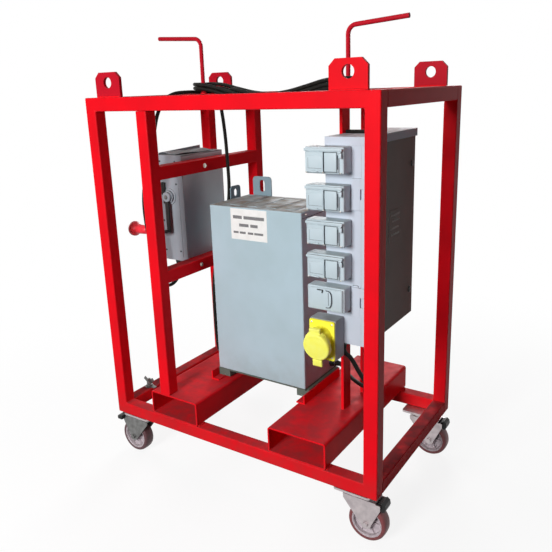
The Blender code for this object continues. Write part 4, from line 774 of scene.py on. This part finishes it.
beads = bmesh.new()
for corner in CORNERS:
    low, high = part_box(f"lifting_lug_{corner}")
    for y in (low[1], high[1]):
        add_weld(beads, (low[0] + 0.004, y, low[2] + 0.0008),
            (high[0] - 0.004, y, low[2] + 0.0008))
for hand in ("left", "right"):
    low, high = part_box(f"{hand}_fork_pocket")
    for x in (low[0], high[0] if hand == "right" else LEFT_POCKET_SIDE):
        for y_from, y_to in ((-0.349, -0.31), (0.31, 0.349)):
            add_weld(beads, (x, y_from, low[2] + 0.001), (x, y_to, low[2] + 0.001), 0.0045)
finished_piece("cage_weld_beads", beads, red_enamel, crease=60)
rings = bmesh.new()
for hand in ("left", "right"):
    low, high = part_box(f"{hand}_cable_hook")
    x = high[0] - 0.008 if hand == "left" else low[0] + 0.008
    add_turned(rings, [(0, 0.0078), (0, 0.0125), (0.0018, 0.012), (0.0042, 0.0098),
        (0.0052, 0.0078)], (x, (low[1] + high[1]) / 2, low[2]), TOP, closed=True)
finished_piece("hook_weld_rings", rings, red_enamel, crease=60)
print("weld beads run")

# %% [markdown]
# ## Bolts and the earth stud
# Zinc fasteners are the small lights in the picture: bolts through the cross rails into
# the switch-fuse, nuts on the transformer's feet, and a stud with a wing nut on the
# left bottom rail, where the earth wire's lug is clamped.

# %% Fit the fasteners
fasteners = bmesh.new()
for y, z in ((-0.053, 1.2147), (-0.112, 0.8215), (0.088, 0.8215)):
    add_bolt(fasteners, (-0.292, y, z), RIGHT)
for x in (-0.205, 0.172):
    for y in (-0.098, 0.122):
        add_bolt(fasteners, (x, y, 0.3496), TOP, 0.013, 0.007, 0.004)
finished_piece("cross_rail_bolts", fasteners, bright_zinc)
print("bolts fitted")

# %% The earth stud, its lug and its wing nut
STUD = Vector((-0.575, -0.19, 0.24))
STUD_HEAD, STUD_SHANK = 0.012, 0.026
half_wing = Vector((0.0125, 0.002, 0.0085))
stud = bmesh.new()
add_bolt(stud, STUD, TOP, 0.026, STUD_HEAD, STUD_SHANK)
add_turned(stud, [(0.016, 0), (0.016, 0.0115), (0.028, 0.0095), (0.028, 0)], STUD, TOP, steps=20)
add_block(stud, STUD + Vector((0.004, -0.009, 0.001)), STUD + Vector((0.036, 0.009, 0.0045)),
    0.0012, 2)
for side in (-1, 1):
    middle = STUD + Vector((side * 0.0165, 0, 0.031))
    add_block(stud, middle - half_wing, middle + half_wing, 0.0018, 2, tilted(-side * 38, 'Y'))
finished_piece("earth_stud", stud, zinc_grime_and_painted_shade)
print("earth stud stands", round((STUD_HEAD + STUD_SHANK) * 1000), "mm high")

# %% [markdown]
# ## Glands
# Where a cable leaves a housing it passes through a gland, and a ribbed rubber cone
# keeps it from bending sharply there. The cone is an outline with grooves, spun round
# the cable's first straight stretch. A black nut holds each gland.

# %% Four ribbed cones and four nuts
CONE_RIBS = 5
# Each gland: its face, the way its cable goes, the cable, the cone's width and length.
glands = (((-0.425, -0.095, 0.808), (0, 0, -1), CABLE, 0.024, 0.026),
    ((-0.247, 0.09, 0.418), LEFT, CABLE, 0.024, 0.026),
    ((0.214, 0.09, 0.418), RIGHT, LEAD, 0.025, 0.024),
    ((0.395, -0.19, 0.643), (0, 0, -1), LEAD, 0.025, 0.024))


def add_cone(shape, place, along, cable, wide, length):
    """A ribbed cone from its collar down to the cable."""
    outline = [(0, cable / 2 - 0.0005), (0, wide / 2), (0.004, wide / 2)]
    for number in range(CONE_RIBS):
        start = 0.004 + (length - 0.006) * number / CONE_RIBS
        step = (length - 0.006) / CONE_RIBS
        fat = wide / 2 + (cable / 2 + 0.0012 - wide / 2) * (number + 0.5) / CONE_RIBS
        outline += [(start + step * 0.1, fat), (start + step * 0.55, fat - 0.0002),
            (start + step * 0.65, fat - 0.0016), (start + step * 0.95, fat - 0.0016)]
    outline += [(length, cable / 2 + 0.001), (length, cable / 2 - 0.0005)]
    add_turned(shape, outline, place, along, closed=True)


cones = bmesh.new()
nuts = bmesh.new()
for place, along, cable, wide, length in glands:
    inward = [-part for part in along]
    add_cone(cones, place, along, cable, wide, length)
    add_turned(nuts, [(0.0002, 0.011), (0.0002, 0.0146), (0.0014, 0.0156), (0.0095, 0.0156),
        (0.0105, 0.0146), (0.0105, 0.011)], place, inward, closed=True)
    add_turned(nuts, [(0.0104, 0.012), (0.0104, 0.0172), (0.0216, 0.0172), (0.0216, 0.012)],
        place, inward, steps=6, closed=True)
finished_piece("strain_reliefs", cones, cable_rubber, crease=50)
finished_piece("gland_nuts", nuts, black_mould)
print("glands:", len(glands))

# %% [markdown]
# ## The transformer's label and lid
# A white film label is stuck on the front near the top. Its words are left out, and plain grey
# bars of the words' lengths keep its look. The lid is a folded sheet, so a thin dark line of
# painted shade marks the gap under its edge; small screws hold it, and four low ribs stiffen it.

# %% Label and bars
CASE_FRONT = -0.118
label = bmesh.new()
add_plate(label, (-0.1235, 0.0435), (0.948, 1.0675), CASE_FRONT, 0.001, 0.0002, 0.0004, 1)
finished_piece("case_label", label, label_paper)
# Each row: its height, how tall its bars are, and where each bar starts and ends.
label_rows = ((1.035, 0.0125, (-0.112, -0.07, -0.062, 0.032)),
    (1.005, 0.0115, (-0.084, -0.04, -0.032, 0.002)),
    (0.976, 0.0085, (-0.112, -0.088, -0.083, -0.055, -0.045, -0.02, -0.015, 0.026)))
words = bmesh.new()
for z, tall, ends in label_rows:
    for x_span in zip(ends[::2], ends[1::2]):
        add_plate(words, x_span, (z - tall / 2, z + tall / 2), CASE_FRONT, 0.0016, -0.0008, 0.0003,
            1)
finished_piece("label_bars", words, label_ink)
print("label bars:", sum(len(row[2]) // 2 for row in label_rows))

# %% Lid seams, lid screws and the ribs on top
CASE_LEFT, CASE_RIGHT, CASE_BACK = -0.225, 0.192, 0.145
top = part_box("transformer_case")[1][2]
# Painted shade: a dark line in the gap under each side of the lid.
block_piece("lid_seams", dark_grey_and_gap_shade, [
    ((x - 0.0006, CASE_FRONT + 0.004, top - 0.0235), (x + 0.0006, CASE_BACK - 0.004, top - 0.022))
    for x in (CASE_LEFT, CASE_RIGHT)])
lid_screws = bmesh.new()
for y in (-0.085, 0.015, 0.112):
    for x, along in ((CASE_RIGHT, RIGHT), (CASE_LEFT, LEFT)):
        add_screw(lid_screws, (x, y, top - 0.012), along, 0.0042)
finished_piece("lid_screws", lid_screws, bright_zinc)
block_piece("lid_ribs", case_enamel, [
    ((x, -0.085, top - 0.0004), (x + 0.044, 0.112, top + 0.0016), 0.0008, 2)
    for x in (-0.15 + 0.085 * number for number in range(4))])
print("case lid dressed")

# %% [markdown]
# ## The sockets
# Each double socket has a sprung flap on its left, which is a solid of its own, and a second cover
# on its right over the switches, under a hood with a rolled hinge. A thin line of painted shade
# marks the gap round the cover, and an upright finger slot next to it is painted as a dark strip
# of shade.

# %% Covers, gaps and screws
COVER = (0.3848, 0.4275)


def add_frame_line(shape, x_span, z_span, y, wide=0.001, deep=0.0006):
    """A thin dark rectangle: painted shade in the gap round a cover."""
    for x in x_span:
        add_plate(shape, (x - wide / 2, x + wide / 2), z_span, y, deep, deep)
    for z in z_span:
        add_plate(shape, x_span, (z - wide / 2, z + wide / 2), y, deep, deep)


covers = bmesh.new()
gaps = bmesh.new()
socket_screws = bmesh.new()
for number in range(1, 5):
    low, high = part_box(f"socket_box_{number}")
    face, z, top = low[1], (low[2] + high[2]) / 2, high[2]
    add_plate(covers, COVER, (z - 0.0325, z + 0.025), face, 0.0016, rounding=0.0016)
    add_plate(covers, (0.313, 0.4462), (top - 0.0125, top - 0.0035), face, 0.0022,
        rounding=0.0016)
    add_turned(covers, [(0, 0), (0, 0.0042), (0.011, 0.0042), (0.011, 0)],
        (0.4325, face - 0.0008, top - 0.015), RIGHT, steps=14)
    add_plate(covers, (0.4345, 0.4452), (top - 0.033, top - 0.016), face, 0.0026,
        rounding=0.0016)
    # Painted shade: the gap round the cover, the finger slot, and the seam along the flap.
    add_frame_line(gaps, (COVER[0] - 0.0012, COVER[1] + 0.001), (z - 0.0338, z + 0.0264),
        face - 0.0002)
    add_plate(gaps, (0.429, 0.4314), (z - 0.025, z + 0.018), face, 0.0012, 0.0006, 0.0004, 1)
    add_plate(gaps, (0.3834, 0.3845), (z - 0.034, z + 0.0275), face, 0.006, -0.0004)
    for x, rise in ((0.38, 0.0052), (0.3205, 0.0045), (0.4395, 0.0045)):
        add_screw(socket_screws, (x, face, low[2] + rise), FRONT, 0.0026)
finished_piece("switch_covers", covers, socket_coat)
finished_piece("socket_gaps", gaps, grime_and_gap_shade)
finished_piece("socket_screws", socket_screws, bright_zinc)
print("socket covers: 4")

# %% A raised panel, a lip and two fine lines on each flap
for number in range(1, 5):
    low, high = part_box(f"socket_lid_{number}")
    face, left, right, foot = low[1], low[0], high[0], low[2]
    flap = bmesh.new()
    add_plate(flap, (left + 0.005, right - 0.005), (foot + 0.006, high[2] - 0.012), face, 0.0012,
        rounding=0.001)
    add_plate(flap, (left + 0.022, right - 0.022), (foot + 0.0005, foot + 0.005), face, 0.003,
        rounding=0.0008)
    finished_piece(f"flap_panel_{number}", flap, socket_coat, f"lid_{number}")
    lines = bmesh.new()
    add_plate(lines, (left + 0.01, left + 0.0107), (foot + 0.013, high[2] - 0.018), face,
        0.0016, -0.001)
    add_plate(lines, (left + 0.01, right - 0.008), (foot + 0.0126, foot + 0.0134), face, 0.0016,
        -0.001)
    finished_piece(f"flap_lines_{number}", lines, grime_and_gap_shade, f"lid_{number}")
print("flap panels: 4")

# %% [markdown]
# ## The plain fifth box
# The fused outlet has a flat cover with a small catch on its left and a bent wire
# pull on its right.

# %% Cover, catch and wire pull
PULL_X, PULL_Z = 0.386, 0.835
PULL_WIDE, PULL_TALL = 0.021, 0.029
low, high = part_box("spur_box")
face = low[1]
spur = bmesh.new()
add_plate(spur, (low[0] + 0.006, high[0] - 0.006), (low[2] + 0.007, high[2] - 0.006), face, 0.0016,
    rounding=0.0014)
finished_piece("spur_cover", spur, socket_coat)
block_piece("spur_catch", dark_grey_and_gap_shade, [
    ((0.352, face - 0.0042, 0.8618), (0.3738, face - 0.0014, 0.865), 0.0008, 1),
    ((0.37, face - 0.005, 0.8535), (0.3742, face - 0.0014, 0.865), 0.0012, 2,
    tilted(14, 'Y'))])


def bulged(share, power):
    """A cosine or a sine pushed outwards, so that a ring becomes a rounded bracket."""
    return math.copysign(abs(share) ** power, share)


pull_route = [(0.385, face + 0.0004, 0.8635), (0.3852, face - 0.003, 0.8638)]
for step in range(13):
    angle = math.radians(88 - 14.7 * step)
    pull_route.append((PULL_X + PULL_WIDE * bulged(math.cos(angle), 0.55), face - 0.006,
        PULL_Z + PULL_TALL * bulged(math.sin(angle), 0.75)))
pull_route += [(0.3852, face - 0.003, 0.8048), (0.385, face + 0.0004, 0.8044)]
dress_wire(round_wire("spur_wire_pull", pull_route, 0.0028), grime_and_gap_shade)
# Painted shadow: a dark upright line that the wire pull casts on the cover.
pull_shadow_line = bmesh.new()
add_plate(pull_shadow_line, (0.3925, 0.3943), (0.813, 0.857), face, 0.0022, -0.0012, 0.0003, 1)
finished_piece("wire_pull_painted_shadow", pull_shadow_line, grime_and_gap_shade)
print("wire pull:", round(route_length([Vector(p) for p in pull_route]) * 1000), "mm of wire")

# %% [markdown]
# ## The yellow round socket
# Its flange is held by four screws. In the photograph the cap is a little larger and
# stands steeper than the solid one, so a shell with a rounded rim and a lifting lip
# lies over it. The cap turns with its own body, so the shell rides on that.

# %% Screws on the flange, shell on the cap
CAP_LEAN = math.radians(8)
yellow_screws = bmesh.new()
low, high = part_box("yellow_socket")
for x in (low[0] + 0.009, high[0] - 0.009):
    for z in (low[2] + 0.01, high[2] - 0.01):
        add_screw(yellow_screws, (x, high[1] - 0.006, z), FRONT, 0.0038)
finished_piece("flange_screws", yellow_screws, bright_zinc)
shell_out = Vector((0, -math.cos(CAP_LEAN), -math.sin(CAP_LEAN)))
downward = Vector((0, math.sin(CAP_LEAN), -math.cos(CAP_LEAN)))
shell_middle = Vector((0.3745, -0.3462, 0.682))
shell = bmesh.new()
add_turned(shell, [(-0.02, 0.0462), (-0.02, 0.0482), (-0.018, 0.049), (-0.006, 0.049),
    (-0.002, 0.0475), (0.0000, 0.0448), (0.0006, 0.04), (0.0001, 0.0385), (0.0008, 0.036),
    (0.0014, 0.02), (0.0016, 0), (-0.003, 0), (-0.003, 0.044), (-0.006, 0.0462)],
    shell_middle, shell_out, steps=48, closed=True)
lip_middle = shell_middle + downward * 0.059 - shell_out * 0.005
half_lip = Vector((0.0175, 0.0042, 0.012))
add_block(shell, lip_middle - half_lip, lip_middle + half_lip, 0.0022, 3,
    Matrix.Rotation(CAP_LEAN, 3, 'X'))
finished_piece("cap_shell", shell, yellow_cap_painted_highlight, "cap")
print("cap front stands at y", round(shell_middle.y, 4))

# %% [markdown]
# ## The enclosure
# The narrow side that faces the camera carries two latches, one above the other. The
# door has a small plate with level bars and two black locks, and a black rubber strip
# lies across the top of the hood.

# %% Latches on the narrow side
ENCLOSURE_FRONT = -0.23
LATCH = (0.4536, 0.4716)
latches = bmesh.new()
latch_marks = bmesh.new()
latch_levers = bmesh.new()
for z in (1.17, 0.831):
    z_span = (z - 0.044, z + 0.044)
    add_plate(latches, LATCH, z_span, ENCLOSURE_FRONT, 0.003, rounding=0.0014)
    # Painted shade in the gap round each latch.
    add_frame_line(latch_marks, LATCH, z_span, ENCLOSURE_FRONT - 0.0004, 0.0018, 0.0014)
    add_plate(latch_levers, (0.4612, 0.4676), (z - 0.03, z + 0.024), ENCLOSURE_FRONT, 0.0078,
        -0.001, 0.0022, 3)
    for offset in (-0.037, 0.034):
        add_screw(latch_marks, (0.464, ENCLOSURE_FRONT - 0.003, z + offset), FRONT, 0.003)
finished_piece("enclosure_latches", latches, box_coat)
finished_piece("latch_marks", latch_marks, grime_and_gap_shade)
finished_piece("latch_levers", latch_levers, dark_grey_and_gap_shade)
print("latches: 2")

# %% The door's plate and locks, and the strip on the hood
DOOR_FACE = 0.4986
block_piece("door_plate", door_coat_painted_shade, [((DOOR_FACE - 0.0004, -0.052, 0.98),
    (DOOR_FACE + 0.0012, 0.048, 1.09), 0.0006, 1)],
    "box_door")
block_piece("door_plate_bars", plate_print, [
    ((DOOR_FACE + 0.0008, y_from, z - 0.0036), (DOOR_FACE + 0.0018, y_to, z + 0.0036), 0.0004, 1)
    for z, y_from, y_to in ((1.072, -0.04, 0.034), (1.052, -0.03, 0.036),
    (1.026, -0.044, 0.03), (1.004, -0.036, 0.034))], "box_door")
locks = bmesh.new()
for z in (0.76, 1.23):
    add_turned(locks, [(0, 0), (0, 0.0125), (0.003, 0.0118), (0.004, 0.007), (0.004, 0)],
        (DOOR_FACE - 0.0002, 0.146, z), RIGHT, steps=28)
    add_block(locks, (DOOR_FACE + 0.0034, 0.1395, z - 0.0016),
        (DOOR_FACE + 0.0052, 0.1525, z + 0.0016), 0.0005, 1)
finished_piece("door_locks", locks, black_mould, "box_door")
block_piece("hood_strip", cable_rubber,
    [((0.357, -0.094, 1.3504), (0.496, -0.074, 1.362), 0.003, 3)])
print("enclosure dressed")

# %% [markdown]
# ## The switch-fuse
# A disc and a nut hold the flat black lever on its spindle. A black crank rod comes
# out of the lever's end, and a red dipped grip ends it. They replace the one plain
# solid handle, because they are several things. On the front are a raised ring round
# the spindle and black fittings, and on top lies a bent sheet, dented at its middle.

# %% Lever, disc, nut, crank and grip
SPINDLE_X, SPINDLE_Z = -0.416, 1.095
CRANK_Y, CRANK_Z = -0.1798, 0.957
CRANK, CRANK_BEND = 0.014, 0.014
lever_piece = block_piece("switch_lever", black_mould, [
    ((-0.425, -0.1568, 0.95), (-0.407, -0.1488, 1.103), 0.002, 2)], "handle")
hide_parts("switch_handle")
disc = bmesh.new()
add_turned(disc, [(0, 0), (0, 0.02), (0.01, 0.02), (0.0125, 0.018), (0.0125, 0)],
    (SPINDLE_X, -0.1448, SPINDLE_Z), FRONT, steps=32)
finished_piece("spindle_disc", disc, switch_enamel, "handle")
spindle_nut = bmesh.new()
add_bolt(spindle_nut, (SPINDLE_X, -0.1571, SPINDLE_Z), FRONT, head=0.005)
finished_piece("spindle_nut", spindle_nut, zinc_grime_and_painted_shade, "handle")
crank_route = [(SPINDLE_X, -0.153, CRANK_Z)]
for step in range(7):
    angle = math.radians(15 * step)
    crank_route.append((SPINDLE_X - CRANK_BEND * (1 - math.cos(angle)),
        CRANK_Y + CRANK_BEND * (1 - math.sin(angle)), CRANK_Z))
crank_route += [(x, CRANK_Y, CRANK_Z) for x in (-0.46, -0.5, -0.53)]
dress_wire(round_wire("switch_crank", crank_route, CRANK, "handle"), black_mould)
grip = bmesh.new()
add_turned(grip, [(0, 0), (0, 0.011), (0.004, 0.015), (0.012, 0.0178), (0.04, 0.019),
    (0.054, 0.0196), (0.06, 0.0215), (0.065, 0.0262), (0.07, 0.0298), (0.076, 0.031),
    (0.083, 0.0304), (0.089, 0.0275), (0.0925, 0.0225), (0.094, 0.018), (0.093, 0.013),
    (0.0928, 0)], (-0.5055, CRANK_Y, CRANK_Z), LEFT, steps=40)
finished_piece("switch_grip", grip, grip_plastic, "handle", crease=50)
print("crank rod:", round(route_length([Vector(p) for p in crank_route]), 3), "m")

# %% Ring, side sheet, fittings and screws
SWITCH_FRONT = -0.133
ring = bmesh.new()
add_turned(ring, [(-0.0005, 0.025), (-0.0005, 0.033), (0.003, 0.0325), (0.0045, 0.03),
    (0.004, 0.025)], (SPINDLE_X, SWITCH_FRONT, SPINDLE_Z), FRONT, steps=40, closed=True)
add_plate(ring, (-0.369, -0.3655), (0.848, 1.242), SWITCH_FRONT, 0.002, rounding=0.001)
finished_piece("spindle_ring", ring, switch_enamel)
# The lighter sheet on the right side is painted light.
block_piece("switch_side_sheet", switch_side_painted_light, [
    ((-0.3436, SWITCH_FRONT + 0.0015, 0.833), (-0.3421, 0.1235, 1.257), 0.0005, 1)])
fittings = bmesh.new()
add_plate(fittings, (-0.456, -0.433), (1.1, 1.152), SWITCH_FRONT, 0.01, 0.0005, 0.005, 3)
add_plate(fittings, (-0.449, -0.435), (1.064, 1.106), SWITCH_FRONT, 0.008, 0.0005, 0.004, 3)
for x, z in ((-0.378, 1.146), (-0.457, 0.994), (-0.378, 0.87), (-0.457, 0.87),
        (-0.378, 1.235), (-0.457, 1.235)):
    add_screw(fittings, (x, SWITCH_FRONT, z), FRONT, 0.004)
finished_piece("switch_front_fittings", fittings, black_mould)
print("switch-fuse fittings placed")

# %% The upright lip and the dented sheet on top
SWITCH_TOP = 1.26
HALF_WIDE, HALF_LONG = 0.046, 0.094
block_piece("switch_top_lip", switch_enamel, [
    ((-0.4615, SWITCH_FRONT + 0.001, SWITCH_TOP - 0.0008), (-0.4595, 0.124, SWITCH_TOP + 0.013),
    0.0006, 1, tilted(2.0, 'X'))])
sheet = bmesh.new()
grid = bmesh.ops.create_grid(sheet, x_segments=16, y_segments=24, size=1.0)["verts"]
bmesh.ops.scale(sheet, vec=(HALF_WIDE, HALF_LONG, 1.0), verts=grid)
for vert in grid:
    u, v = vert.co.x / HALF_WIDE, vert.co.y / HALF_LONG
    wave = 0.0022 * math.sin(3.1 * u + 2.3 * v)
    dent = 0.0035 * math.exp(-((u - 0.2) ** 2 + (v + 0.1) ** 2) * 6)
    fold = 0.006 * max(0.0, v - 0.35) ** 1.5 + 0.0045 * max(0.0, -u - 0.45)
    vert.co.z = 0.005 + wave + fold - dent
bend = max(vert.co.z for vert in grid)
bmesh.ops.rotate(sheet, cent=(0, 0, 0), matrix=tilted(-7, 'Z'), verts=grid)
bmesh.ops.translate(sheet, vec=(-0.403, -0.018, SWITCH_TOP), verts=grid)
bmesh.ops.recalc_face_normals(sheet, faces=sheet.faces)
bmesh.ops.solidify(sheet, geom=sheet.faces[:], thickness=0.0016)
finished_piece("switch_top_sheet", sheet, switch_enamel, crease=60)
print("sheet on the switch-fuse rises", round(bend * 1000, 1), "mm")

# %% [markdown]
# ## Inside the boxes
# With the enclosure open, a row of breakers shows. Their toggles are black, so each
# gets a small cap of its own over the solid's toggle, all in one piece.

# %% Toggles of the breakers
BREAKERS, PITCH_OF_BREAKERS = 12, 0.0175
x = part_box("breaker_row")[1][0]
block_piece("breaker_toggles", black_mould, [
    ((x - 0.0105, y - 0.0058, 1.0107), (x + 0.0006, y + 0.0058, 1.0216), 0.0012, 2)
    for y in (-0.135 + PITCH_OF_BREAKERS * (number + 0.5) for number in range(BREAKERS))])
print("breaker toggles:", BREAKERS)

# %% Show the colours in the Standard view transform
scene.view_settings.view_transform = 'Standard'
